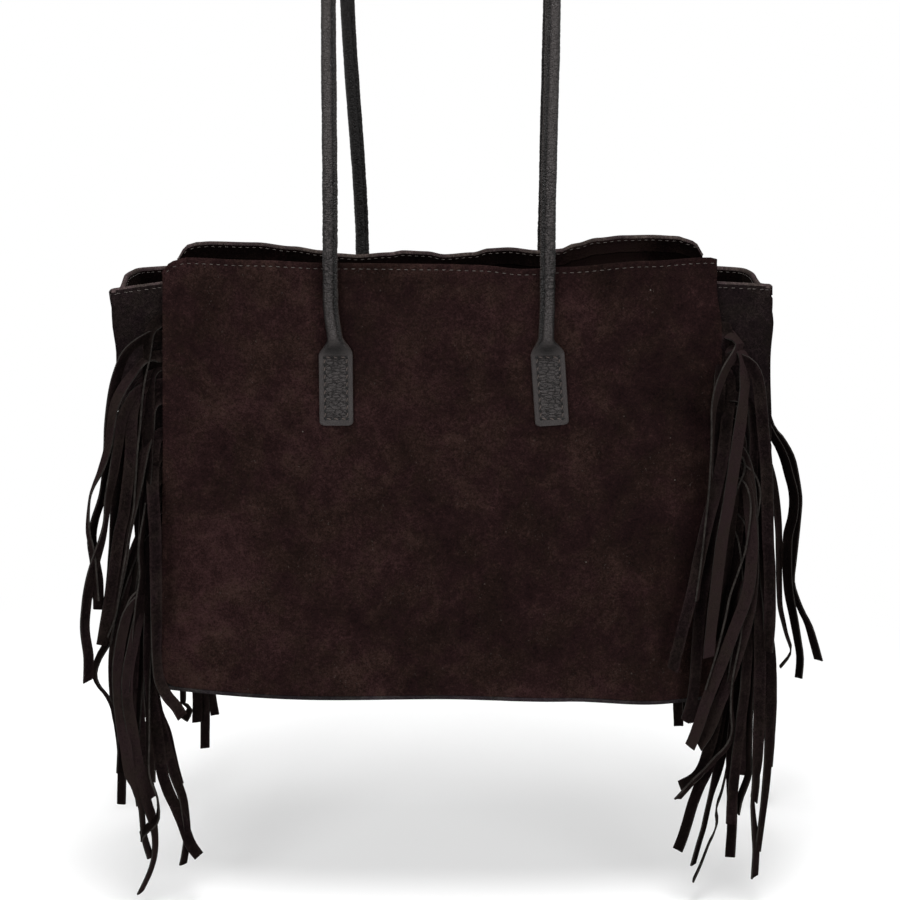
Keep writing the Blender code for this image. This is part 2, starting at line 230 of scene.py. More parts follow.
class Paint:
    # one material, or the world, built node by node
    def __init__(self, name, world=None):
        self.material = world or bpy.data.materials.new(name)
        self.material.use_nodes = True
        self.tree = self.material.node_tree
        self.shader = self.tree.nodes.get("Principled BSDF")

    def node(self, kind, settings=None, sockets=None, out=0):
        made = self.tree.nodes.new(kind)
        for name, value in (settings or {}).items():
            if name == "stops":
                ramp = made.color_ramp.elements
                while len(ramp) < len(value):
                    ramp.new(1)
                for stop, (position, colour) in zip(ramp, value):
                    stop.position = position
                    stop.color = (*colour, 1)
            else:
                setattr(made, name, value)
        for name, value in (sockets or {}).items():
            self.feed(made.inputs[name], value)
        return Wire(self, made.outputs[out])

    def feed(self, socket, value):
        if isinstance(value, Wire):
            self.tree.links.new(value.socket, socket)
        elif isinstance(value, tuple) and len(value) == 3 and socket.type == "RGBA":
            socket.default_value = (*value, 1)
        else:
            socket.default_value = value

    def set(self, **sockets):
        # sockets of the shader itself, such as baseColor or sheenWeight
        names = {name.lower().replace(" ", ""): name for name in self.shader.inputs.keys()}
        for name, value in sockets.items():
            self.feed(self.shader.inputs[names[name.lower()]], value)

    def spot(self, stretch=(1, 1, 1)):
        # place on the bag in metres, stretched along an axis where a grain runs
        where = self.node("ShaderNodeTexCoord", out="Object")
        if stretch == (1, 1, 1):
            return where
        return self.node("ShaderNodeMapping", {}, {"Vector": where, "Scale": stretch})

    def cloud(self, size, detail=3, rough=0.5, stretch=(1, 1, 1), warp=0):
        # noise whose blotches are about as wide as size, in metres
        sockets = {"Vector": self.spot(stretch), "Scale": 1 / size, "Detail": detail,
                   "Roughness": rough, "Distortion": warp}
        return self.node("ShaderNodeTexNoise", {"noise_dimensions": "3D"}, sockets)

    def cells(self, size, feature="F1", stretch=(1, 1, 1)):
        sockets = {"Vector": self.spot(stretch), "Scale": 1 / size}
        return self.node("ShaderNodeTexVoronoi", {"feature": feature}, sockets, out="Distance")

    def attribute(self, name):
        return self.node("ShaderNodeAttribute", {"attribute_name": name}, out="Fac")

    def span(self, value, low, high, start=0.0, end=1.0):
        # maps low..high to start..end, with soft ends
        sockets = {"Value": value, "From Min": low, "From Max": high, "To Min": start, "To Max": end}
        return self.node("ShaderNodeMapRange", {"interpolation_type": "SMOOTHSTEP"}, sockets)

    def axis(self, letter):
        return self.node("ShaderNodeSeparateXYZ", {}, {"Vector": self.spot()}, out=letter)

    def blend(self, share, first, second, how="MIX"):
        settings = {"data_type": "RGBA", "clamp_factor": True, "blend_type": how}
        return self.node("ShaderNodeMix", settings, {0: share, 6: first, 7: second}, out=2)

    def ramp(self, value, stops):
        return self.node("ShaderNodeValToRGB", {"stops": stops}, {"Fac": value})

    def bump(self, height, distance, strength=1.0, normal=None):
        sockets = {"Height": height, "Distance": distance, "Strength": strength}
        if normal:
            sockets["Normal"] = normal
        return self.node("ShaderNodeBump", {}, sockets)


suedeLook = {
    "napDark": (0.0029, 0.0018, 0.0018),
    "napMid": (0.0094, 0.0049, 0.0046),
    "napLight": (0.0275, 0.0142, 0.0132),
    "napStops": (0.36, 0.50, 0.64),  # tones at which the nap has these three colours
    "patchSize": 70 * mm,
    "mottleSize": 13 * mm,
    "fleckSize": 2.3 * mm,
    "napSize": 1.0 * mm,
    "napDepth": 1.2 * mm,
    "plum": (1.04, 0.965, 1.03),
    "olive": (0.97, 1.01, 0.93),
    "driftSize": 26 * mm,
    "driftSpan": (0.40, 0.60),
    "sheenTint": (0.8, 0.6, 0.5),
    "lint": (0.048, 0.038, 0.034),
    "lintSize": 1.2 * mm,
    "lintSpan": (0.70, 0.80),
    "tuftSpacing": 26 * mm,
    "tuftSpan": (0.47, 0.62),
    "speck": (0.085, 0.075, 0.068),
    "speckSpacing": 19 * mm,
    "speckSpan": (0.030, 0.020),
    "speckPatches": 70 * mm,
    "speckPatchSpan": (0.46, 0.58),
    "strapContrast": 0.30,
    "borderHighlight": 0.07,
}


def suede(name, tint=(1, 1, 1), level=1.0, paintedLight=(), perStrap=False, specks=False):
    # brushed suede: cloudy patches that drift between plum and olive, a finer mottle, short nap;
    # the slow changes across the piece are painted light and shade, each given as an axis, its start and end,
    # and how much
    look = suedeLook
    paint = Paint(name)
    patches = paint.cloud(look["patchSize"], detail=3, rough=0.55, warp=0.6)
    mottle = paint.cloud(look["mottleSize"], detail=5, rough=0.6, warp=0.4)
    flecks = paint.cloud(look["fleckSize"], detail=3, rough=0.7)
    nap = paint.cloud(look["napSize"], detail=2, rough=0.7)
    tone = 0.27 * patches + 0.20 * mottle + 0.25 * flecks + 0.28 * nap
    # painted light and shade, slow across the piece
    for axis, start, end, amount in paintedLight:
        tone = tone + amount * paint.span(paint.axis(axis), start, end)
    if perStrap:
        # some straps are paler than others, at random and as painted shade on the straps further back; each
        # is paler along its borders, a painted highlight where the edges catch light
        border = paint.span(paint.attribute("border"), 0.45, 1.0)
        tone = tone + (paint.attribute("tone") - 0.5) * look["strapContrast"] + look["borderHighlight"] * border
    naps = [tuple(c * t * level for c, t in zip(look[key], tint))
            for key in ("napDark", "napMid", "napLight")]
    stops = list(zip(look["napStops"], naps))
    drift = paint.span(paint.cloud(look["driftSize"], detail=4, rough=0.65), *look["driftSpan"])
    cast = paint.blend(drift, look["plum"], look["olive"])
    colour = paint.blend(1.0, paint.ramp(tone, stops), cast, "MULTIPLY")
    if specks:
        # pale fibres lying in the nap, and a few specks of dust
        fibres = paint.cloud(look["lintSize"], detail=1, stretch=(1, 1, 0.75), warp=1.0)
        tufts = paint.cloud(look["tuftSpacing"], detail=2)
        fibres = paint.span(fibres, *look["lintSpan"]) * paint.span(tufts, *look["tuftSpan"])
        colour = paint.blend(fibres, colour, look["lint"])
        dust = paint.span(paint.cells(look["speckSpacing"]), *look["speckSpan"])
        rare = paint.span(paint.cloud(look["speckPatches"], detail=1), *look["speckPatchSpan"])
        colour = paint.blend(dust * rare, colour, look["speck"])
    relief = paint.bump(0.5 * nap + 0.3 * flecks + 0.2 * mottle, look["napDepth"], 0.9)
    paint.set(baseColor=colour, roughness=1.0, specularIorLevel=0.0, sheenWeight=0.010,
              sheenRoughness=0.5, sheenTint=look["sheenTint"], normal=relief)
    return paint.material


cutLook = {"fibreSize": 0.7 * mm, "fibreDepth": 0.5 * mm, "blotchSize": 9 * mm, "darkest": 0.4}


def cutEdge(name, colour, sheen=0.03):
    # the raw edge of cut suede: paler, fibrous, and dark where fibres part
    look = cutLook
    paint = Paint(name)
    fibres = paint.cloud(look["fibreSize"], detail=3, rough=0.7, stretch=(1, 1, 0.35))
    blotch = paint.cloud(look["blotchSize"], detail=2)
    # spanned twice, so that it is mostly light or dark
    shade = paint.span(paint.span(0.6 * fibres + 0.4 * blotch, 0.36, 0.64), 0.0, 1.0)
    dark = tuple(c * look["darkest"] for c in colour)
    paint.set(baseColor=paint.blend(shade, dark, colour), roughness=0.95,
              specularIorLevel=0.05, sheenWeight=sheen, normal=paint.bump(fibres, look["fibreDepth"], 0.6))
    return paint.material


leatherLook = {
    # the darkest colour is painted shade in creases and hollows, the lightest a painted highlight on the
    # strap's crests
    "crease": (0.0016, 0.0011, 0.0010),
    "face": (0.0205, 0.0172, 0.0168),
    "crestHighlight": (0.0500, 0.0445, 0.0438),
    "toneStops": (0.44, 0.76, 0.98),  # tones at which the leather has these three colours
    "rawEdge": (0.0180, 0.0115, 0.0092),
    "pebbleSize": 1.1 * mm,
    "pebbleDepth": 0.25 * mm,
    "puckerSize": 2.0 * mm,
    "puckerDepth": 0.9 * mm,
    "puckerLie": (0.38, 0.38, 1.0),  # puckers lie level across the strap
    "grainSize": 0.5 * mm,
    "blotchSize": 11 * mm,
}


def leather(name):
    # fine pebbled leather: dark where the piece paints shade into its folds, lightest on its crests as a
    # painted highlight, puckered where the piece says so, brown along its sewn edge
    look = leatherLook
    paint = Paint(name)
    valleys = paint.span(paint.cells(look["pebbleSize"], "DISTANCE_TO_EDGE"), 0.0, 0.14)
    lumps = paint.span(paint.cells(look["puckerSize"], "DISTANCE_TO_EDGE", look["puckerLie"]), 0.0, 0.16)
    puckers = 1 - paint.attribute("pucker") * (1 - lumps)
    grain = paint.cloud(look["grainSize"], detail=2, rough=0.6)
    blotch = paint.cloud(look["blotchSize"], detail=3, rough=0.55)
    # painted shade and highlight: the fold attribute carries the painted shade, and puckered places are
    # painted darker between the lumps
    tone = 0.38 * paint.attribute("fold") + 0.25 * puckers + 0.12 * valleys + 0.15 * blotch + 0.10 * grain
    colour = paint.ramp(tone, list(zip(look["toneStops"], (look["crease"], look["face"], look["crestHighlight"]))))
    colour = paint.blend(paint.attribute("edge"), colour, look["rawEdge"])
    puckered = paint.bump(puckers, look["puckerDepth"], 0.8)
    pebbled = paint.bump(valleys + 0.4 * grain, look["pebbleDepth"], 0.6, puckered)
    paint.set(baseColor=colour, roughness=paint.span(blotch, 0.3, 0.7, 0.40, 0.54),
              specularIorLevel=0.17, normal=pebbled)
    return paint.material


threadLook = {"twistSize": 0.5 * mm, "twistDepth": 0.2 * mm, "darkest": 0.55}


def thread(name, colour):
    look = threadLook
    paint = Paint(name)
    twist = paint.cloud(look["twistSize"], detail=2, rough=0.6)
    dark = tuple(c * look["darkest"] for c in colour)
    paint.set(baseColor=paint.blend(paint.span(twist, 0.35, 0.65), dark, colour), roughness=0.7,
              specularIorLevel=0.25, normal=paint.bump(twist, look["twistDepth"], 0.7))
    return paint.material


# painted light and shade: the panels are painted lighter towards their left side, and darker towards their
# right side and over their top part, towards the rim
bodySuede = suede("bodySuede", level=1.07, specks=True, paintedLight=(
    ("X", 0.02, -0.19, 0.020), ("X", 0.06, 0.19, -0.022), ("Z", -0.36, -0.28, -0.020)))
sideSuede = suede("sideSuede", tint=(0.76, 1.04, 1.12), level=0.95)
# painted shade: the insides of the panels and gussets are a suede painted at about a quarter of the body's
# brightness, for the shade inside the bag, with a painted lighter band from about x 0.07 to 0.18 m
innerShadeSuede = suede("innerShadeSuede", tint=(1.0, 1.12, 1.15), level=0.24, paintedLight=(
    ("X", 0.07, 0.13, 0.20), ("X", 0.14, 0.18, -0.22)))
# the folded rim: partly the paler, rubbed nap over the fold and partly a painted highlight where the top of
# the fold catches light
foldWearAndHighlight = suede("foldWearAndHighlight", tint=(1.0, 1.45, 1.5), level=3.6)
baseSuede = suede("baseSuede", tint=(0.85, 1.4, 1.6), level=1.4)
fringeSuede = suede("fringeSuede", tint=(0.93, 1.20, 1.26), level=0.52, perStrap=True)
panelEdge = cutEdge("panelEdge", (0.050, 0.038, 0.032))
fringeEdge = cutEdge("fringeEdge", (0.023, 0.020, 0.018), sheen=0.0)
handleLeather = leather("handleLeather")
paleThread = thread("paleThread", (0.056, 0.047, 0.042))
tabThread = thread("tabThread", (0.0620, 0.0480, 0.0430))
# painted shade: near-black blobs at the ends of the tab stitches stand in for the shade inside the needle
# holes
needleHoleShade = thread("needleHoleShade", (0.0006, 0.0004, 0.0004))
print("materials ready")


# Camera, at the photo's height and tilt

view = {
    "place": Vector((0, -1116 * mm, -161 * mm)),
    "tiltDown": math.radians(10),
    "focalPixels": 1530,
    "axisPixel": (440, 370),  # where the lens axis meets the photo
    "photoPixels": 900,
    "sensor": 36,
    "clipEnd": 20,
}


def addCamera():
    pixels = view["photoPixels"]
    bpy.ops.object.camera_add(location=view["place"], rotation=(math.pi / 2 - view["tiltDown"], 0, 0))
    camera = bpy.context.object
    camera.name = "photoCamera"
    camera.data.sensor_width = view["sensor"]
    camera.data.lens = view["focalPixels"] * view["sensor"] / pixels
    camera.data.shift_x = (pixels / 2 - view["axisPixel"][0]) / pixels
    camera.data.shift_y = (view["axisPixel"][1] - pixels / 2) / pixels
    camera.data.clip_end = view["clipEnd"]
    bpy.context.scene.camera = camera


def atPixel(pixel, y):
    # the point seen at a pixel of the photo, at a given distance front to back
    right = (pixel[0] - view["axisPixel"][0]) / view["focalPixels"]
    down = (pixel[1] - view["axisPixel"][1]) / view["focalPixels"]
    tilt = view["tiltDown"]
    ray = Vector((right, math.cos(tilt) - down * math.sin(tilt), -math.sin(tilt) - down * math.cos(tilt)))
    return view["place"] + ray * ((y - view["place"].y) / ray.y)


stage = {
    "floorZ": -745 * mm,
    "floorRadius": 6,
    "floorSides": 64,
    "floorColour": (0.9, 0.9, 0.9),
    "shadowRadius": (0.36, 0.74),  # the floor takes a shadow near the bag, and is plain white further out
    "shadowStretch": (0.88, 1, 0),  # the shadow is a little wider than deep
    "shadowShift": (0.06, 0, 0),
    "shadowStrength": 0.72,
    "worldLight": 0.25,
    # name: place, size, watts
    "lamps": {
        "topSoftbox": ((0.0, -0.45, 1.6), 1.0, 46),
        "keySoftbox": ((-1.3, -2.0, 0.5), 1.2, 34),
        "fillSoftbox": ((1.5, -1.9, 0.2), 1.5, 26),
        "rearSoftbox": ((0.2, 1.7, 0.7), 1.6, 16),
    },
    "lookAt": Vector((0, 0, -0.36)),
}


def lookedAt(paint):
    # 1 for what the camera sees directly, in a mirror or through glass
    rays = paint.node("ShaderNodeLightPath")
    names = ("Is Camera Ray", "Is Glossy Ray", "Is Transmission Ray")
    seen = [Wire(paint, rays.socket.node.outputs[name]) for name in names]
    return paint.node("ShaderNodeMath", {"operation": "ADD", "use_clamp": True},
                      {0: seen[0] + seen[1], 1: seen[2]})


def addFloor():
    bpy.ops.mesh.primitive_circle_add(vertices=stage["floorSides"], radius=stage["floorRadius"],
                                      fill_type="NGON", location=(0, 0, stage["floorZ"]))
    floor = bpy.context.object
    floor.name = "floor"
    bpy.ops.object.transform_apply(location=True)
    paint = Paint("whiteFloor")
    paint.set(baseColor=stage["floorColour"], roughness=1.0, specularIorLevel=0.0)
    spread = paint.node("ShaderNodeVectorMath", {"operation": "MULTIPLY_ADD"},
                        {0: paint.spot(), 1: stage["shadowStretch"], 2: stage["shadowShift"]})
    reach = paint.node("ShaderNodeVectorMath", {"operation": "LENGTH"}, {0: spread}, out="Value")
    plain = paint.span(reach, *stage["shadowRadius"])
    glow = paint.node("ShaderNodeEmission", {}, {"Color": (1, 1, 1), "Strength": 1.0})
    share = lookedAt(paint) * (1 - stage["shadowStrength"] * (1 - plain))
    lit = Wire(paint, paint.shader.outputs[0])
    mixed = paint.node("ShaderNodeMixShader", {}, {0: share, 1: lit, 2: glow})
    paint.feed(paint.tree.nodes["Material Output"].inputs["Surface"], mixed)
    floor.data.materials.append(paint.material)


def addWorld():
    world = bpy.data.worlds.new("whiteStudio")
    bpy.context.scene.world = world
    paint = Paint("whiteStudio", world)
    strength = stage["worldLight"] + (1 - stage["worldLight"]) * lookedAt(paint)
    background = paint.tree.nodes["Background"]
    paint.feed(background.inputs["Color"], (1, 1, 1))
    paint.feed(background.inputs["Strength"], strength)


def addLamps():
    for name, (place, size, watts) in stage["lamps"].items():
        aim = (stage["lookAt"] - Vector(place)).to_track_quat("-Z", "Y").to_euler()
        bpy.ops.object.light_add(type="AREA", location=place, rotation=aim)
        lamp = bpy.context.object
        lamp.name = name
        lamp.data.shape = "DISK"
        lamp.data.size = size
        lamp.data.energy = watts


addCamera()
addFloor()
addWorld()
addLamps()
bpy.context.scene.view_settings.view_transform = "Standard"
print("camera, floor and lamps ready")


# The body's lines, the same as the solids'

body = {
    "rimZ": -272 * mm,
    "baseZ": -582.5 * mm,
    "rimHalfWidth": 190 * mm,  # centre to a side seam
    "backRimHalfWidth": 201.5 * mm,
    "baseHalfWidth": 202 * mm,
    "rimHalfDepth": 58 * mm,
    "baseHalfDepth": 62 * mm,
    "rimBow": 12 * mm,
    "baseBow": 20 * mm,
    "bowPower": 3,
    "seamLap": 8 * mm,
    "thickness": 1.7 * mm,
    "edgeRound": 0.4 * mm,
    "lapDepth": 3.7 * mm,  # a panel's outer face in to the gusset's
    # share of the height, how far the seam strays outwards
    "seamSway": {
        -1: ((0.0, 2.2 * mm), (0.5, 0.8 * mm), (1.0, 0.0)),
        1: ((0.0, 2.0 * mm), (0.06, 1.8 * mm), (0.15, 5.0 * mm), (0.6, 3.0 * mm), (1.0, 0.0)),
    },
    # share of the half width, how far the lower edge sags
    "baseSag": ((-1.0, 3.4 * mm), (-0.5, 2.2 * mm), (0.0, 3.6 * mm), (0.45, 1.0 * mm),
                (0.8, -4.2 * mm), (1.0, -3.4 * mm)),
}


def depthShare(z):
    return (body["rimZ"] - z) / (body["rimZ"] - body["baseZ"])


def seamAt(side, z, face=-1):
    # distance of a side seam from the centre, sideways and front to back
    share = depthShare(z)
    halfDepth = mix(body["rimHalfDepth"], body["baseHalfDepth"], share)
    if face > 0:
        return mix(body["backRimHalfWidth"], body["baseHalfWidth"], share), halfDepth
    sway = keyed(body["seamSway"][side], min(max(share, 0.0), 1.0))
    return mix(body["rimHalfWidth"], body["baseHalfWidth"], share) + sway, halfDepth


panelShape = {
    # rims as (pixel across, pixel down) of the photo
    "frontRim": ((155, 300), (163, 272), (166, 266), (172, 261), (186, 257.6), (250, 260), (328, 263),
                 (440, 264), (478, 265), (524, 269), (562, 267), (649, 261), (705, 257.6), (714, 257.6),
                 (716.5, 259), (722, 266)),
    "backRim": ((170, 268), (180, 257), (183, 249), (189, 244), (197, 241.8), (210, 241), (256, 242),
                (293, 246), (322, 250), (338, 253), (357, 254.2), (390, 252), (403, 250), (427, 251),
                (444, 254), (473, 252), (489, 248), (508, 247), (538, 250), (560, 248.5), (575, 243),
                (597, 237.5), (623, 235), (651, 234.5), (676, 235.6), (689, 239), (694.5, 241.6),
                (698.5, 246), (701, 252), (706, 266)),
    "backWave": ((-1.0, 3 * mm), (-0.34, -5 * mm), (0.02, -4 * mm), (0.4, -2 * mm), (0.65, 4 * mm),
                 (0.86, 5 * mm), (1.0, 4 * mm)),  # how far the back rim sways backwards
    "waveDepth": 90 * mm,
    "wavePower": 4,
    "baseCorner": 11 * mm,
    "hemDepth": 13 * mm,
    "hemProud": 0.35 * mm,
    "hemStep": 2 * mm,
    "hemLift": 0.5 * mm,  # the hem's raw edge curls off the panel
    "hemLiftRate": 40,
    "closeHems": 1.6,  # the close rows below the rim reach down this many hems
    "stitchDrop": 4 * mm,
    "stitchGroove": 0.35 * mm,
    "grooveReach": 1.1 * mm,
    "columns": 124,
    "bodyRows": 58,
    "hemRows": 24,
    "foldRows": 6,
    "insideRows": 14,
    "edgeColumn": 0.8 * mm,
    "swell": 1.3 * mm,  # slow waves of the hanging suede
    "swellRate": (9, 3.7, 7),  # noise rates across, from panel to panel, and upwards
    "ripple": 0.28 * mm,
    "rippleRate": (34, 5.1, 26),
    "calmBase": 25 * mm,
    "calmPower": 6,
    "sideFacing": 0.7,  # faces that point this far sideways are the panel's side edges
    "lightSide": 25 * mm,  # the back panel's folded rim shows this far down its side edges
}


def panelOut(face, x, z):
    # distance of a panel's outer face from the centre plane; face is -1 front, 1 back
    side = 1 if x > 0 else -1
    halfWidth, halfDepth = seamAt(side, z, face)
    bowedWidth = halfWidth - body["seamLap"]
    across = max(-bowedWidth, min(bowedWidth, x)) / halfWidth
    bow = mix(body["rimBow"], body["baseBow"], depthShare(z))
    out = halfDepth + bow * (1 - abs(across) ** body["bowPower"])
    if face > 0:
        fade = math.exp(-max(body["rimZ"] - z, 0) / panelShape["waveDepth"])
        fade *= 1 - across ** panelShape["wavePower"]
        out += keyed(panelShape["backWave"], across) * fade
    return mix(out, halfDepth, max(0.0, abs(x) - bowedWidth) / body["seamLap"])


def panelRelief(face, x, z):
    # slow waves and small ripples, dying out at the seams
    side = 1 if x > 0 else -1
    across = min(abs(x) / seamAt(side, z, face)[0], 1)
    calm = (1 - across ** panelShape["calmPower"]) * smooth((z - body["baseZ"]) / panelShape["calmBase"])
    height = 0.0
    for part in ("swell", "ripple"):
        perX, perFace, perZ = panelShape[part + "Rate"]
        height += panelShape[part] * noise.noise(Vector((x * perX, face * perFace, z * perZ)))
    return calm * height


rimCache = {}


def rimAt(face, x):
    # height of the rim, read from its line in the photo
    key = (face, round(x / (0.1 * mm)))
    if key not in rimCache:
        y = face * panelOut(face, x, body["rimZ"])
        line = [atPixel(spot, y) for spot in panelShape["backRim" if face > 0 else "frontRim"]]
        rimCache[key] = keyed([(spot.x, spot.z) for spot in line], x)
    return rimCache[key]


def baseAt(x):
    # height of the lower edge, which sags unevenly
    side = 1 if x > 0 else -1
    halfWidth = seamAt(side, body["baseZ"])[0]
    radius = panelShape["baseCorner"]
    into = min(radius, max(0.0, radius - (halfWidth - abs(x))))
    corner = radius - math.sqrt(radius ** 2 - into ** 2)
    return body["baseZ"] + keyed(body["baseSag"], x / halfWidth) + corner


def panelPoint(face, x, z, sunk):
    # a point in the panel, sunk inwards from its outer face
    shape = panelShape
    below = rimAt(face, x) - z
    hemShare = smooth((shape["hemDepth"] + shape["hemStep"] / 2 - below) / shape["hemStep"])
    groove = shape["stitchGroove"] * max(0.0, 1 - abs(shape["stitchDrop"] - below) / shape["grooveReach"])
    out = panelOut(face, x, z) + panelRelief(face, x, z) + shape["hemProud"] * hemShare - groove
    return Vector((x, face * (out - sunk), z))


def panelColumn(column, halfWidth):
    # even columns, with two close ones at each side edge
    columns, edge = panelShape["columns"], panelShape["edgeColumn"]
    fromEdge = min(column, columns - column)
    side = 1 if 2 * column > columns else -1
    if fromEdge < 2:
        return side * (halfWidth - fromEdge * edge)
    return mix(-1, 1, (column - 1) / (columns - 2)) * (halfWidth - 1.5 * edge)


def alongSheet(shape, row, baseZ, rimZ):
    # where a row of a folded sheet lies: its height, how far it is sunk from the outer face, its
    # lift over the rim, and its share of the way down the hem's inner side
    half = body["thickness"] / 2
    hemDepth = panelShape["hemDepth"]
    hemTop = rimZ - shape["closeHems"] * hemDepth
    if row <= shape["bodyRows"]:
        return mix(baseZ, hemTop, row / shape["bodyRows"]), half, 0.0, 0.0
    row -= shape["bodyRows"]
    if row <= shape["hemRows"]:
        return mix(hemTop, rimZ, row / shape["hemRows"]), half, 0.0, 0.0
    row -= shape["hemRows"]
    if row <= shape["foldRows"]:
        turn = math.pi * row / shape["foldRows"]
        return rimZ, body["thickness"] - half * math.cos(turn), half * math.sin(turn), 0.0
    share = (row - shape["foldRows"]) / shape["insideRows"]
    return rimZ - share * (hemDepth - body["thickness"]), 3 * half, 0.0, share


def layPanel(face):
    shape = panelShape

    def lay(column, row):
        side = 1 if 2 * column > shape["columns"] else -1

        def across(z):
            return panelColumn(column, seamAt(side, z, face)[0])

        rimZ = rimAt(face, across(body["rimZ"])) - body["thickness"]
        z, sunk, lift, inside = alongSheet(shape, row, baseAt(across(body["baseZ"])), rimZ)
        x = across(z)
        curl = shape["hemLift"] * inside ** 3 * (1 + noise.noise(Vector((x * shape["hemLiftRate"], face, 0))))
        return panelPoint(face, x, z, sunk + curl) + Vector((0, 0, lift))

    return lay


def foldSheet(name, shape, place, lightRim, turned):
    # cuts a sheet, lays it over its rim and gives it its thickness
    rows = sheetRows(shape)
    sheet = cutSheet(name, shape["columns"], rows)
    if lightRim:
        markFold(sheet, shape)
    laySheet(sheet, shape["columns"], rows, place)
    if turned:
        turnOver(sheet)
    applyModifier(sheet, "SOLIDIFY", thickness=body["thickness"], offset=0, material_offset_rim=1)
    return sheet


def addPanel(name, node, face):
    shape = panelShape
    panel = foldSheet(name, shape, layPanel(face), lightRim=face > 0, turned=face > 0)
    for polygon in panel.data.polygons:
        # a side edge is turned in along its seam, so only the lower and inner edges are raw
        if abs(polygon.normal.x) > shape["sideFacing"]:
            light = face > 0 and polygon.center.z > body["rimZ"] - shape["lightSide"]
            polygon.material_index = foldedRim if light else outerFace
    finishSheet(panel, lambda spot: Vector((0, face, 0)), bodySuede, innerShadeSuede, foldWearAndHighlight, panelEdge)
    roundEdges(panel, body["edgeRound"])
    hang(panel, [node])


addPanel("frontPanel", "front_panel", -1)
addPanel("backPanel", "back_panel", 1)
print("panels laid")


# Gussets: each folds out past the panels as a wing

gussetShape = {
    "rimDrop": 13.5 * mm,
    "wingDip": {-1: 6 * mm, 1: 2.5 * mm},  # the rim dips at the wing's front crease
    # share of the height, how far the wing stands out past the seam
    "wingOut": {
        -1: ((0.0, 40.8 * mm), (0.25, 35 * mm), (1.0, 10 * mm)),
        1: ((0.0, 42.0 * mm), (0.22, 37.0 * mm), (0.45, 38.5 * mm), (0.7, 27 * mm), (1.0, 10 * mm)),
    },
    "setback": 5 * mm,
    "pinch": 9 * mm,  # the front crease is pressed flat this far, and opens lower down
    "pinchDepth": 70 * mm,
    "pinchLeft": 0.15,  # share of it that is left below
    "pinchLow": (0.3, 0.4),  # shares of it at the outer side's two bends
    "sideBend": 4 * mm,  # the wing's outer side bends this far behind the middle
    "rearBend": 14 * mm,  # and turns this far in front of its rear face
    "rearSlack": 4 * mm,
    "cuts": (0, 0.6 * mm, 3 * mm, 14 * mm, 14 * mm, 14 * mm, 0),  # rounding of each fold, front to back
    "columns": 96,
    "bodyRows": 44,
    "hemRows": 16,
    "foldRows": 6,
    "insideRows": 12,
    "closeHems": 1.5,
    "swell": 0.8 * mm,
    "swellRate": (5, 2.3, 11),
    "calmBase": 30 * mm,
    "calmPower": 0.7,
}


def roundedLine(corners, cuts, steps=12, most=0.45):
    # points along a broken line, each cut corner turned into a smooth curve that takes up
    # at most a share of the lengths beside it
    points = [corners[0]]
    for before, corner, after, cut in zip(corners, corners[1:], corners[2:], cuts):
        if not cut:
            points.append(corner)
            continue
        cut = min(cut, most * (before - corner).length, most * (after - corner).length)
        start = corner + (before - corner).normalized() * cut
        end = corner + (after - corner).normalized() * cut
        for step in range(steps + 1):
            share = step / steps
            points.append(start.lerp(corner, share).lerp(corner.lerp(end, share), share))
    points.append(corners[-1])
    return points


planCache = {}


def gussetPlan(side, z):
    # outer face of a gusset at one height, from the front seam round to the back seam
    key = (side, round(z / (0.05 * mm)))
    if key in planCache:
        return planCache[key]
    shape = gussetShape
    seamX, seamY = seamAt(side, z)
    backX = seamAt(side, z, 1)[0]
    lappedX, backLap = seamX - body["seamLap"], backX - body["seamLap"]
    out = keyed(shape["wingOut"][side], min(max(depthShare(z), 0.0), 1.0))
    lapY = seamY - body["lapDepth"]
    wingY = lapY - shape["setback"]
    fade = math.exp(-max(body["rimZ"] - z, 0) / shape["pinchDepth"])
    pinch = shape["pinch"] * mix(shape["pinchLeft"], 1, fade)
    first, second = shape["pinchLow"]
    corners = [
        Vector((lappedX, body["lapDepth"] - panelOut(-1, side * lappedX, z))),
        Vector((seamX, -lapY)),
        Vector((seamX + out, -wingY)),
        Vector((seamX + out - pinch, 0.5 * pinch - wingY)),
        Vector((seamX + out - first * pinch, shape["sideBend"])),
        Vector((seamX + out - second * pinch, wingY - shape["rearBend"])),
        Vector((mix(backX, seamX + out, 0.5), wingY - shape["rearSlack"])),
        Vector((backX, lapY)),
        Vector((backLap, panelOut(1, side * backLap, z) - body["lapDepth"])),
    ]
    planCache[key] = evenly(roundedLine(corners, shape["cuts"]), shape["columns"])
    return planCache[key]


def gussetRim(side, column):
    shape = gussetShape
    plan = gussetPlan(side, body["rimZ"])
    seamX, seamY = seamAt(side, body["rimZ"])
    out = shape["wingOut"][side][0][1]
    crease = Vector((seamX + out, body["lapDepth"] + shape["setback"] - seamY))
    near = max(0.0, 1 - (plan[column] - crease).length / out)
    return body["rimZ"] - shape["rimDrop"] - shape["wingDip"][side] * near


def gussetPoint(side, column, z, sunk):
    # a point in the gusset, sunk inwards from its outer face
    shape = gussetShape
    plan = gussetPlan(side, z)
    along = plan[min(column + 1, len(plan) - 1)] - plan[max(column - 1, 0)]
    inwards = Vector((-along.y, along.x)).normalized()
    share = column / shape["columns"]
    calm = math.sin(math.pi * share) ** shape["calmPower"] * smooth((z - body["baseZ"]) / shape["calmBase"])
    perShare, perSide, perZ = shape["swellRate"]
    wave = noise.noise(Vector((share * perShare, side * perSide, z * perZ)))
    spot = plan[column] + inwards * (sunk + shape["swell"] * calm * wave)
    return Vector((side * spot.x, spot.y, z))


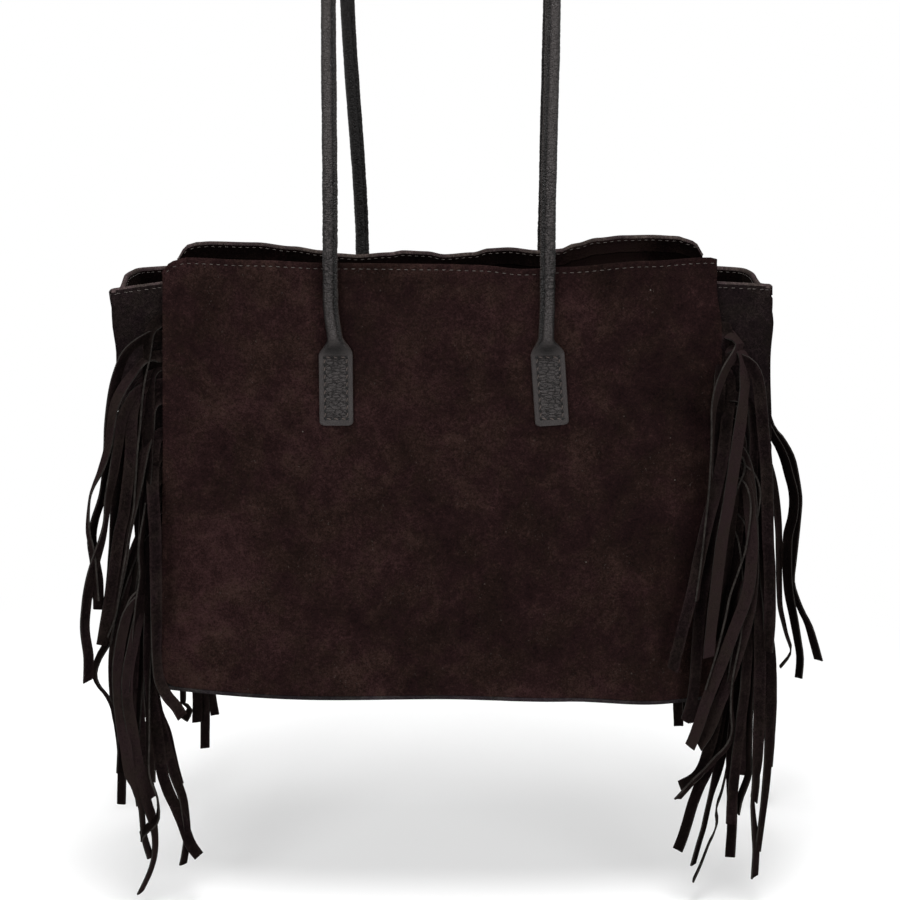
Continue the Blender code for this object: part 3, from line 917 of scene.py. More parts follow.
def layGusset(side):
    baseZ = body["baseZ"] + keyed(body["baseSag"], side)

    def lay(column, row):
        rimZ = gussetRim(side, column) - body["thickness"]
        z, sunk, lift, _ = alongSheet(gussetShape, row, baseZ, rimZ)
        return gussetPoint(side, column, z, sunk) + Vector((0, 0, lift))

    return lay


def addGusset(name, node, side):
    shape = gussetShape
    gusset = foldSheet(name, shape, layGusset(side), lightRim=True, turned=side < 0)
    middleX = side * body["rimHalfWidth"]
    finishSheet(gusset, lambda spot: Vector((spot.x - middleX, spot.y, 0)).normalized(),
                sideSuede, innerShadeSuede, foldWearAndHighlight, panelEdge)
    roundEdges(gusset, body["edgeRound"])
    hang(gusset, [node])
    upper, lower = (lineLength(gussetPlan(side, body[level])) for level in ("rimZ", "baseZ"))
    height = -body["baseZ"] + body["rimZ"] - shape["rimDrop"] + panelShape["hemDepth"]
    (upper + lower) / 2 * height


addGusset("leftGusset", "left_gusset", -1)
addGusset("rightGusset", "right_gusset", 1)
print("gussets folded")


# Base: a flat sheet under the lower edges

baseShape = {
    "thickness": 2.6 * mm,
    "columns": 90,
    "rows": 26,
    "gap": 0.3 * mm,
    "frontReach": 0.6 * mm,
    "seamInset": 2 * mm,
    "cornerDepth": 8 * mm,  # this near a panel the base ends at the seam, and elsewhere at the gusset
    "endsFrom": 0.8,  # share of the half width from which its ends are drawn to the gussets
    "lapColumns": 6,  # columns of a gusset that lie behind each panel
    "edgeRound": 0.7 * mm,
    "bowShare": 0.75,  # of the panels' bow, in the area that is cut
}


def addBase():
    shape = baseShape
    base = cutSheet("basePanel", shape["columns"], shape["rows"])

    def gussetReach(side, y):
        # how far the gusset's lower edge lies sideways at one place front to back
        plan = gussetPlan(side, body["baseZ"])
        return min(plan[shape["lapColumns"]:-shape["lapColumns"]], key=lambda spot: abs(spot.y - y)).x

    def lay(column, row):
        across = 2 * column / shape["columns"] - 1
        side = 1 if across > 0 else -1
        wide = seamAt(side, body["baseZ"])[0] - shape["seamInset"]
        front = panelOut(-1, across * wide, body["baseZ"]) + shape["frontReach"]
        back = panelOut(1, across * wide, body["baseZ"])
        y = mix(-front, back, row / shape["rows"])
        atGusset = abs(y) < body["baseHalfDepth"] - shape["cornerDepth"]
        reach = gussetReach(side, y) if atGusset else wide
        x = across * mix(wide, reach, smooth((abs(across) - shape["endsFrom"]) / (1 - shape["endsFrom"])))
        z = body["baseZ"] + keyed(body["baseSag"], across) - shape["gap"] - shape["thickness"] / 2
        return Vector((x, y, z))

    laySheet(base, shape["columns"], shape["rows"], lay)
    base.data.materials.append(baseSuede)
    applyModifier(base, "SOLIDIFY", thickness=shape["thickness"], offset=0)
    roundEdges(base, shape["edgeRound"], segments=3)
    hang(base, ["base_panel"])
    2 * (body["baseHalfWidth"] + gussetShape["wingOut"][1][-1][1])


addBase()
print("base laid")


# Handles: a strip rolled round and sewn along its inner edge, flat and stitched down at both ends

handleShape = {
    "radius": 4.3 * mm,
    "flange": 2.2 * mm,  # the sewn edge, on the inner side of the loop
    "flangeWide": 0.27,  # radians round the strap
    "flangeGroove": (0.44, 0.12, 0.55 * mm),  # radians from the flange, radians wide, depth
    "archRise": 80 * mm,
    "archGap": 2.4 * mm,  # the two handles pass each other with this gap
    "tabWidth": 23.5 * mm,
    "tabLength": 52.5 * mm,
    "tabThickness": 2.8 * mm,
    "tabCorner": 2.8 * mm,
    "tabEdge": 1.1 * mm,  # rounding of the tab's long edges
    "boxing": (1.6, 4),  # how fast the tab's outline fills out to its sides and to its faces
    "tabDrop": 59 * mm,
    "shoulder": 13 * mm,
    "shoulderDrop": 3.5 * mm,
    "seat": 0.3 * mm,
    "bend": (6 * mm, 40 * mm),  # each leg bends over its tab from this far below its top, over this length
    "tabStep": 0.6 * mm,
    "closeRows": 20 * mm,  # how far above the tab the rows are a tabStep apart
    "strapStep": 1.0 * mm,
    "archSteps": 240,
    "outlineSteps": 120,
    "around": 80,
    "wrinklePitch": 3.0 * mm,
    "wrinkle": 0.5 * mm,
    "wrinkleWide": 0.14,
    "wrinkleRate": (0.9, 3),  # noise rates round the strap, and from handle to handle
    "unevenPitch": 18 * mm,
    "uneven": 0.2 * mm,
    # height, and how puckered or wrinkled the strap is there
    "puckered": ((-0.335, 0.0), (-0.320, 0.35), (-0.275, 0.85), (-0.225, 0.85), (-0.190, 0.45), (0.0, 0.4)),
    "wrinkled": ((-0.320, 0.15), (-0.300, 0.45), (-0.275, 1.0), (-0.235, 1.0), (-0.200, 0.55), (0.0, 0.4)),
    "stitchInset": 4.1 * mm,
    "endInset": 4.7 * mm,
    "stitchPitch": 5.4 * mm,
    "needleGroove": 0.45 * mm,
    "grooveReach": 1.1 * mm,
    "puff": 0.45 * mm,  # the pressed leather swells between the stitches
    "puffReach": 4 * mm,
    "crease": 0.40 * mm,
    "creaseReach": 1.5 * mm,
    "creaseRate": (70, 7.0, 500),
    "creaseWide": 0.15,
    "softStep": 1 * mm,  # over which the middle turns into the border
    "hollow": 1.3 * mm,  # where the roll ends over the tab
    "hollowSize": (6 * mm, 5 * mm),  # wide and high
    # painted shade: how much darker each of these places is painted
    "shade": {"wrinkle": 0.6, "sides": 0.85, "groove": 0.55, "crease": 0.3, "border": 0.16, "hollow": 0.7},
    "sideTurn": (0.4, 0.9),  # radians from the crest where the painted shade on the sides begins, and over which it darkens
    "rawEdge": (0.02, 0.13),  # radians round the strap, and radians wide
    "weld": 0.02 * mm,
    # x of each leg at its tab's middle, at the rim and where the arch starts
    "legs": {
        -1: {-1: (-72.0 * mm, -76.1 * mm, -78.2 * mm), 1: (73.7 * mm, 74.6 * mm, 79.4 * mm)},
        1: {-1: (-58.5 * mm, -61.4 * mm, -68.7 * mm), 1: (81.5 * mm, 82.0 * mm, 81.5 * mm)},
    },
    "tilt": {-1: {-1: 0.0, 1: 4.3}, 1: {-1: 0.0, 1: 0.0}},  # degrees that a tab leans
    "tiltFrom": 5 * mm,  # above the tab
}
tabTop = body["rimZ"] - handleShape["tabDrop"]
tabEnd = tabTop - handleShape["tabLength"]
archTop = handleShape["radius"] + handleShape["flange"]
archStart = archTop - handleShape["archRise"]


def legPoint(face, side, z):
    # centre of a leg at one height; the share is 1 where it is rolled and 0 where it is the flat tab
    shape = handleShape
    tabX, rimX, archX = shape["legs"][face][side]
    rolled = smooth((z - tabTop + shape["shoulderDrop"]) / shape["shoulder"])
    if z > body["rimZ"]:
        x = mix(rimX, archX, smooth((z - body["rimZ"]) / (archStart - body["rimZ"])))
    else:
        start, length = shape["bend"]
        x = mix(tabX, rimX, smooth((z - tabTop + start) / length))
    x += math.tan(math.radians(shape["tilt"][face][side])) * max(0.0, tabTop - z + shape["tiltFrom"])
    half = mix(shape["tabThickness"] / 2, shape["radius"], rolled)
    # it lies on the panel as far as the rim, then leans in to the other handle
    leanZ = body["rimZ"] + 2 * shape["radius"]
    relief = panelRelief(face, x, min(z, body["rimZ"]))
    out = panelOut(face, x, min(z, leanZ)) + relief + shape["seat"] + half
    if z > leanZ:
        out = mix(out, shape["radius"] + shape["archGap"] / 2, (z - leanZ) / (archTop - leanZ))
    return Vector((x, face * (out + panelShape["hemProud"]), z)), rolled


def handleLine(face):
    # from the left tab's lower end up, over the arch and down to the right tab's lower end
    shape = handleShape
    strapZ = tabTop + shape["closeRows"]
    tabSteps = int((strapZ - tabEnd) / shape["tabStep"])
    strapSteps = int((archStart - strapZ) / shape["strapStep"])
    leg = [mix(tabEnd, strapZ, step / tabSteps) for step in range(tabSteps)]
    leg += [mix(strapZ, archStart, step / strapSteps) for step in range(strapSteps)]
    line = [legPoint(face, -1, z) for z in leg]
    left, right = legPoint(face, -1, archStart)[0], legPoint(face, 1, archStart)[0]
    middle, halfSpan = (left.x + right.x) / 2, (right.x - left.x) / 2
    for step in range(shape["archSteps"] + 1):
        turn = math.pi * step / shape["archSteps"]
        z = mix(archStart, 0.0, math.sin(turn))
        y = legPoint(face, -1, z)[0].y
        line.append((Vector((middle - halfSpan * math.cos(turn), y, z)), 1.0))
    line += [legPoint(face, 1, z) for z in reversed(leg)]
    return line


def handleSection(shareRound, halfWidth):
    # outline across the strap: (towards the inside of the loop, away from the panel)
    shape = handleShape
    corner, flatHalf = shape["tabEdge"], shape["tabThickness"] / 2
    grooveAt, grooveWide, grooveDepth = shape["flangeGroove"]
    toSides, toFaces = shape["boxing"]
    outline = []
    for step in range(shape["outlineSteps"] + 1):
        turn = math.pi * 2 * step / shape["outlineSteps"]
        c, s = math.cos(turn), math.sin(turn)
        # the sewn edge stands out on the inner side, with a groove where it meets the roll
        reach = abs((turn + math.pi) % (2 * math.pi) - math.pi)
        standing = shape["flange"] * math.exp(-(reach / shape["flangeWide"]) ** 4)
        groove = grooveDepth * math.exp(-((reach - grooveAt) / grooveWide) ** 2)
        rolled = Vector((c, s)) * (shape["radius"] + standing - groove)
        boxed = Vector((math.copysign(min(abs(c) * toSides, 1) * (halfWidth - corner), c) + corner * c,
                        math.copysign(min(abs(s) * toFaces, 1) * (flatHalf - corner), s) + corner * s))
        outline.append(boxed.lerp(rolled, shareRound))
    return evenly(outline, shape["around"])


def strapRelief(face, roll, turn, along, z):
    # how far the rolled strap swells at one place round and along it, how pale it is painted, with painted
    # shade in its wrinkles and on its sides, and how puckered
    shape = handleShape
    wide, perFace = shape["wrinkleRate"]
    x, y = wide * math.cos(turn), wide * math.sin(turn) + perFace * face
    lie = Vector((x, y, along / shape["wrinklePitch"]))
    level = min(z, 0.0)
    valley = math.exp(-abs(noise.noise(lie)) / shape["wrinkleWide"]) * keyed(shape["wrinkled"], level) * roll
    slow = noise.noise(Vector((perFace * face, 0.5, along / shape["unevenPitch"])))
    start, length = shape["sideTurn"]
    aside = smooth((abs(turn - math.pi / 2) - start) / length)
    pale = 1 - shape["shade"]["wrinkle"] * valley - shape["shade"]["sides"] * roll * aside
    swell = roll * shape["uneven"] * slow - shape["wrinkle"] * valley
    return swell, pale, roll * keyed(shape["puckered"], level)


def tabRelief(face, flat, across, z):
    # needle groove, the swollen and creased middle inside it, and the hollow where the roll ends; the groove,
    # the creases, the border outside the stitches and the hollow are painted darker, as painted shade
    shape, shade, softStep = handleShape, handleShape["shade"], handleShape["softStep"]
    aside = abs(across) - (shape["tabWidth"] / 2 - shape["stitchInset"])
    above = abs(z - (tabTop + tabEnd) / 2) - shape["tabLength"] / 2 + shape["endInset"]
    inside = max(aside, above)
    groove = max(0.0, 1 - abs(inside) / shape["grooveReach"])
    out, pale, pucker = -flat * shape["needleGroove"] * groove, -flat * shade["groove"] * groove, 0.0
    if inside < 0:
        perX, perFace, perZ = shape["creaseRate"]
        crease = noise.noise(Vector((across * perX, face * perFace, z * perZ)))
        deep = math.exp(-abs(crease) / shape["creaseWide"]) * smooth(-inside / shape["creaseReach"])
        out += flat * (shape["puff"] * smooth(-inside / shape["puffReach"]) - shape["crease"] * deep)
        pale -= flat * shade["crease"] * deep
        pucker = flat * smooth(-inside / softStep)
    else:
        pale -= shade["border"] * flat * smooth(inside / softStep)
    wide, high = shape["hollowSize"]
    dent = math.exp(-((z - tabTop) / high) ** 2) * math.exp(-(across / wide) ** 2)
    out -= shape["hollow"] * dent * (1 - flat * smooth(-above / softStep))
    return out, pale - shade["hollow"] * dent, pucker


def addHandle(name, node, face):
    shape = handleShape
    line = handleLine(face)
    rows, around = len(line) - 1, shape["around"]
    strap = cutSheet(name, around, rows)
    along = [0.0]
    for before, after in zip(line, line[1:]):
        along.append(along[-1] + (after[0] - before[0]).length)
    sections = {}
    looks = {label: [0.0] * len(strap.data.vertices) for label in ("fold", "edge", "pucker")}
    edgeAt, edgeWide = shape["rawEdge"]

    def lay(column, row):
        spot, roll = line[row]
        before, after = line[max(row - 1, 0)][0], line[min(row + 1, rows)][0]
        tangent = (after - before).normalized()
        inwards = Vector((0, face, 0)).cross(tangent).normalized() * face
        facing = tangent.cross(inwards).normalized() * face
        radius = shape["tabCorner"]
        into = min(radius, max(0.0, radius - (spot.z - tabEnd))) if roll < 1 else 0.0
        halfWidth = shape["tabWidth"] / 2 - radius + math.sqrt(radius ** 2 - into ** 2)
        key = (round(roll, 4), round(halfWidth, 5))
        if key not in sections:
            sections[key] = handleSection(roll, halfWidth)
        across, out = sections[key][column % around]
        turn = math.atan2(out, across)
        swell, pale, pucker = strapRelief(face, roll, turn, along[row], spot.z)
        if roll < 1 and out > 0:
            pressed, shaded, gathered = tabRelief(face, 1 - roll, across, spot.z)
            out += pressed
            pale += shaded
            pucker = max(pucker, gathered)
        index = row * (around + 1) + column
        # the fold attribute holds the painted shade of the wrinkles, sides, grooves, creases, border and
        # hollow
        looks["fold"][index] = max(0.0, min(1.0, pale))
        looks["edge"][index] = roll * math.exp(-((turn - edgeAt) / edgeWide) ** 2)
        looks["pucker"][index] = pucker
        radial = Vector((math.cos(turn), math.sin(turn))) * swell
        return spot + inwards * (across + radial.x) + facing * (out + radial.y)

    laySheet(strap, around, rows, lay)
    addLooks(strap, looks)
    work(strap)
    bpy.ops.object.mode_set(mode="EDIT")
    bpy.ops.mesh.select_all(action="SELECT")
    bpy.ops.mesh.remove_doubles(threshold=shape["weld"])
    bpy.ops.mesh.select_all(action="DESELECT")
    bpy.ops.mesh.select_mode(type="EDGE")
    bpy.ops.mesh.select_non_manifold()
    bpy.ops.mesh.edge_face_add()
    bpy.ops.mesh.select_all(action="SELECT")
    bpy.ops.mesh.normals_make_consistent(inside=False)
    bpy.ops.object.mode_set(mode="OBJECT")
    strap.data.materials.append(handleLeather)
    smoothShade(strap, 60)
    hang(strap, [node])


addHandle("frontHandle", "front_handle", -1)
addHandle("backHandle", "back_handle", 1)
print("handles rolled")


# Stitches

stitchShape = {
    "rim": {"length": 2.9 * mm, "width": 0.62 * mm, "rise": 0.5 * mm, "pitch": 5.17 * mm,
            "proud": 0.1 * mm, "wobble": 0.12 * mm, "wobbleRate": 900, "reach": 0.5 * mm,
            "endGap": {-1: 3 * mm, 1: 6 * mm}},  # on the front and on the back panel
    "tab": {"length": 3.4 * mm, "width": 0.9 * mm, "rise": 0.9 * mm, "slant": -0.3, "sunk": 0.2 * mm},
    "hole": {"length": 2.6 * mm, "width": 1.35 * mm, "rise": 1.0 * mm, "slant": 0.5, "sunk": 0.2 * mm},
}


def modelStitch(name, size, material):
    deselectAll()
    bpy.ops.mesh.primitive_uv_sphere_add(segments=6, ring_count=6, radius=0.5)
    stitch = bpy.context.object
    stitch.name = name
    work(stitch)
    bpy.ops.object.mode_set(mode="EDIT")
    bpy.ops.transform.resize(value=(size["width"], size["rise"], size["length"]))
    bpy.ops.object.mode_set(mode="OBJECT")
    bpy.ops.object.shade_smooth()
    stitch.data.materials.append(material)
    return stitch


def sewLine(name, stitch, spots):
    # copies of one stitch along a seam; each spot is (place, direction along, direction out)
    copies = []
    for spot, along, out in spots:
        along = along.normalized()
        side = along.cross(out).normalized()
        out = side.cross(along).normalized()
        turned = Matrix((side, out, along)).transposed().to_4x4()
        copy = stitch.copy()
        copy.data = stitch.data.copy()
        copy.data.transform(Matrix.Translation(spot) @ turned)
        bpy.context.collection.objects.link(copy)
        copies.append(copy)
    hang(joinAll(name, copies))


def discard(piece):
    deselectAll()
    piece.select_set(True)
    bpy.ops.object.delete()


def rimSpots(face, sunk):
    # along a panel's rim, sunk inwards from its outer face: on top of it or on the hem inside
    size = stitchShape["rim"]
    halfWidth = seamAt(1, body["rimZ"], face)[0] - size["endGap"][face]
    count = int(2 * halfWidth / size["pitch"])
    outwards = Vector((0, face if sunk < body["thickness"] else -face, 0))
    spots = []
    for step in range(count + 1):
        x = mix(-halfWidth, halfWidth, step / count)
        places = []
        for at in (x - size["reach"], x, x + size["reach"]):
            wobble = size["wobble"] * noise.noise(Vector((at * size["wobbleRate"], face, 2)))
            places.append(panelPoint(face, at, rimAt(face, at) - panelShape["stitchDrop"] + wobble, sunk))
        spots.append((places[1], places[2] - places[0], outwards))
    return spots


def gussetSpots(side, sunk):
    pitch = stitchShape["rim"]["pitch"]
    plan = gussetPlan(side, body["rimZ"])
    piece = lineLength(plan) / gussetShape["columns"]
    spots = []
    for step in range(1, int(lineLength(plan) / pitch)):
        column = min(gussetShape["columns"] - 1, round(step * pitch / piece))
        z = gussetRim(side, column) - panelShape["stitchDrop"]
        here = gussetPoint(side, column, z, sunk)
        along = gussetPoint(side, column + 1, z, sunk) - here
        out = gussetPoint(side, column, z, 0) - gussetPoint(side, column, z, 1 * mm)
        spots.append((here, along, out if sunk < body["thickness"] else -out))
    return spots


def tabSpots(face, side, offset, size):
    # round the stitched rectangle of one tab; offset is the share of a stitch from its corner
    shape = handleShape
    halfWide = shape["tabWidth"] / 2 - shape["stitchInset"]
    topZ, lowZ = tabTop - shape["endInset"], tabEnd + shape["endInset"]
    corners = [Vector((x, z)) for x, z in ((-halfWide, topZ), (halfWide, topZ), (halfWide, lowZ),
                                           (-halfWide, lowZ), (-halfWide, topZ))]
    out = shape["tabThickness"] / 2 - size["sunk"]
    spots = []
    for first, second in zip(corners, corners[1:]):
        count = max(2, round((second - first).length / shape["stitchPitch"]))
        run = (second - first).normalized()
        along = Vector((run.x, 0, run.y)) + size["slant"] * Vector((-run.y, 0, run.x))
        for step in range(count):
            flat = first.lerp(second, (step + offset) / count)
            centre, _ = legPoint(face, side, flat.y)
            spots.append((centre + Vector((flat.x, face * out, 0)), along, Vector((0, face, 0))))
    return spots


rimStitch = modelStitch("rimStitch", stitchShape["rim"], paleThread)
onTop, within = -stitchShape["rim"]["proud"], 2 * body["thickness"] + stitchShape["rim"]["proud"]
for place, spotsOf, way in (("front", rimSpots, -1), ("back", rimSpots, 1),
                            ("left", gussetSpots, -1), ("right", gussetSpots, 1)):
    sewLine(place + "RimStitches", rimStitch, spotsOf(way, onTop) + spotsOf(way, within))
discard(rimStitch)
for label, offset, material in (("tab", 0.5, tabThread), ("hole", 0.0, needleHoleShade)):
    size = stitchShape[label]
    stitch = modelStitch(label + "Stitch", size, material)
    for face, place in ((-1, "front"), (1, "back")):
        spots = [spot for side in (-1, 1) for spot in tabSpots(face, side, offset, size)]
        sewLine(place + label.capitalize() + "Stitches", stitch, spots)
    discard(stitch)
print("stitches sewn")


# Fringes: thin straps sewn into each upright seam, falling in front of one another

fringeShape = {
    "thickness": 1.25 * mm,
    "width": 8.6 * mm,
    "narrowing": 0.93,  # a strap's width at its end, as a share
    "top": -312 * mm,
    "bottom": -521 * mm,
    "bandWidth": 7 * mm,
    "bandRows": 24,
    "bandSpare": 4 * mm,
    "bandInset": 1 * mm,
    "columns": 4,
    "rows": 54,
    "curl": 0.5 * mm,
    "curlRate": 0.11,
    "rootDepth": -2.7 * mm,  # between the panel and the gusset
    "firstLayer": 3,  # mm in front of the seam, to which each strap's own distance is added
    "usualWidth": 12,  # pixels, where a strap's way gives none
    "edgeMargin": 0.5 * mm,
    "clearance": 4 * mm,  # it comes forward once it is clear of the panel's edge
    "clearanceGrowth": 1.3,  # further out for the straps that lie further forward
    "forward": (0.06, 0.30),  # shares of its length between which it comes all the way forward
    "heldFlat": 12 * mm,  # the panel's edge holds a strap flat, and it turns freely this far from it
    "raggedness": 0.18 * mm,
    "raggedRate": (2, 0.35),  # noise rates across and along the strap
    "thicknessSeen": 1.0 * mm,  # of the cut edge, in the width that the photo shows
    "thinnest": 0.2 * mm,
    "slantedEnd": 0.35,
    "endRows": 3,  # rows over which a slanted end is drawn
    "tone": (0.06, 0.040, 0.26),  # of the rearmost strap, added for each mm forward as painted shade that leaves the straps further back darker, and at random
}

# Each strap: how far in front of the seam it hangs at its top and at its end, in mm,
# then the way it takes, as (pixel across, pixel down, width seen in pixels) of the photo
leftStraps = [
    (5, 8, [(166, 317, 12), (155, 325, 12), (149.5, 333, 12), (148, 343, 11), (147, 357, 9),
        (144, 380, 5), (142, 400, 4), (140, 426, 4), (137.5, 447, 4), (134.5, 489, 4.5), (132.5, 512, 5),
        (129, 530, 5), (125, 554, 5), (118.5, 593, 5), (115, 614, 5.5), (107, 634.5, 6)]),
    (9, 12, [(166, 336, 11), (152, 336, 11), (142, 340, 11), (133, 346, 11), (125, 355, 10),
        (118, 372, 9), (113, 392, 9), (109, 425, 8), (108, 450, 8), (104, 490, 7), (95, 520, 7),
        (92, 540, 8), (95, 562, 9), (98, 582, 10), (98.5, 609.5, 10)]),
    (15, 17, [(166, 356, 13), (152, 357, 13), (141, 364, 13), (132, 375, 13), (124, 386, 13),
        (117, 399, 12), (113, 412, 11), (108, 447, 10), (100, 472, 8), (94, 485, 5), (89.5, 500, 4.5),
        (88, 530, 7), (92, 552, 9), (96, 600, 9)]),
    (12, 21, [(166, 384, 12), (152, 385, 12), (136, 392, 12), (127, 405, 11), (121, 420, 10),
        (118, 445, 9), (112, 480, 8), (108, 500, 6), (106, 520, 3), (102, 540, 6), (96, 560, 9),
        (90, 582, 9), (86.5, 605, 9), (85, 630, 8), (88.5, 657, 9), (88, 681, 9)]),
    (8, 11, [(166, 372, 13), (149, 377, 14), (138, 391, 14), (132, 415, 14), (131, 450, 14),
        (129.5, 468, 14), (127, 489, 14), (123.5, 515, 13), (119.5, 533, 13), (116.5, 554, 13),
        (113.5, 575, 12), (109, 603, 12), (105, 626, 12), (101.5, 645, 11)]),
    (6, 6, [(166, 378, 11), (150, 384, 11), (136, 396, 11), (127, 415, 10), (121, 440, 10),
        (118, 470, 10), (116, 500, 10), (114.5, 540, 10), (111.5, 580, 10), (106, 620, 9),
        (103, 638, 9)]),
    (6, 5, [(166, 363, 13), (156, 367, 13), (150, 376, 14), (148.5, 392, 14), (148, 420, 14),
        (147, 470, 12), (143, 520, 10), (136, 570, 8), (130, 620, 8)]),
    (4, 3, [(166, 385, 12), (157, 388, 12), (150, 397, 12), (148, 420, 12), (147, 470, 11),
        (144, 520, 10), (141, 575, 8), (139, 605, 8)]),
    (9, 8, [(166, 397, 12), (157, 400, 12), (150.5, 410, 12), (148.5, 434, 12), (143, 458, 11),
        (138.5, 482, 11), (133.5, 507, 10), (127, 538, 9), (125, 557, 9), (120, 582, 9), (114, 612, 8),
        (109, 640, 8)]),
    (11, 10, [(166, 470, 11), (158, 476, 11), (152, 492, 9), (146, 515, 5), (142, 537, 4), (141, 554, 4),
        (142.4, 575, 5), (140, 600, 8), (136, 640, 8), (133, 690, 8)]),
    (12, 16, [(166, 432, 12), (157, 437, 12), (153, 455, 12), (152.5, 480, 12), (153, 500, 12),
        (155, 530, 12), (156, 590, 12), (156.5, 620, 9), (156.5, 650, 4), (158, 672, 5), (161, 684, 9),
        (168, 697, 12), (176, 706, 12), (182.5, 717, 12)]),
    (13, 9, [(166, 584, 10), (150, 589, 10), (139, 594, 10), (132, 603, 10), (128, 620, 9), (124, 650, 8),
        (121, 690, 8), (122, 740, 8), (121, 772, 8)]),
    (18, 15, [(166, 588, 10), (148, 592, 10), (137, 600, 10), (128, 612, 10), (123, 630, 10),
        (119.5, 650, 10), (117.5, 668, 10), (118, 690, 10), (119.5, 707, 10.5), (121.7, 725, 11),
        (126, 748, 13), (129.5, 772, 12), (135, 784, 8), (138, 795, 4.5), (141, 806, 3.5),
        (142.4, 820, 3.5), (143.8, 835, 3.5), (147, 847, 4), (150.5, 858, 4)]),
    (15, 12, [(166, 598, 11), (151, 599, 11), (142, 607, 11), (137, 625, 11), (133, 645, 11),
        (129, 665, 11), (127, 685, 11), (128, 706, 10), (131.5, 725, 11), (135, 748, 12),
        (139.5, 772, 12), (144, 790, 10.5), (147, 804, 9), (152, 818, 7), (154.6, 832, 4.5),
        (155.2, 845, 4.5), (154, 858, 4.5), (149.5, 873, 6), (140.5, 892, 6)]),
    (7, 9, [(166, 572, 11), (156, 578, 11), (151, 595, 11), (149.5, 622, 11), (149, 642, 11),
        (150, 665, 11), (153, 688, 11), (157, 710, 11), (163.5, 735, 10), (169, 755, 9), (174.5, 775, 7),
        (179.5, 788, 6), (183.5, 800, 5), (185.5, 815, 5), (187, 833, 4.5), (185.5, 850, 5),
        (183, 864, 6)]),
    (9, 12, [(166, 556, 12), (157, 562, 12), (152, 582, 12), (150, 620, 12), (149, 660, 12),
        (151, 690, 12), (153, 708, 12), (156, 725, 12.5), (159.5, 749, 13), (162, 771, 13.5),
        (168, 790, 13.5), (175.5, 806, 13), (181.5, 820, 13), (190, 843, 12), (199, 856, 11)]),
    (3, 18, [(166, 540, 9), (156, 548, 9), (152, 572, 9), (150, 620, 8), (148, 680, 6), (148, 740, 5),
        (148, 765, 4), (150.5, 779, 3), (154, 788, 3), (157, 797, 3.2), (158.3, 806, 3.5),
        (158.4, 814, 4), (156, 821, 7), (150.5, 826, 8), (145, 830, 8), (140.5, 837, 8)]),
    (2, 4, [(166, 520, 9), (148, 530, 9), (132, 560, 9), (118, 600, 9), (108, 640, 9), (100, 655, 8),
        (95, 668, 8), (95, 678, 8), (99.5, 687, 9), (107, 696, 9), (114, 710, 9), (118, 730, 9),
        (121.5, 752, 10.5), (122, 775, 10.5), (121.5, 804, 10.5)]),
    (1, 1, [(166, 505, 9), (155, 513, 9), (151, 550, 9), (147, 620, 9), (141, 680, 8), (138, 730, 6),
        (135, 785, 4), (137, 806, 4)]),
    (6, 4, [(166, 488, 12), (157, 494, 12), (153, 520, 12), (151, 580, 12), (150, 640, 12),
        (149, 690, 10), (150, 715, 8)]),
    (3, 2, [(166, 450, 12), (157, 456, 12), (152, 480, 12), (149, 540, 12), (145, 600, 12),
        (142, 660, 10), (137, 690, 9)]),
]

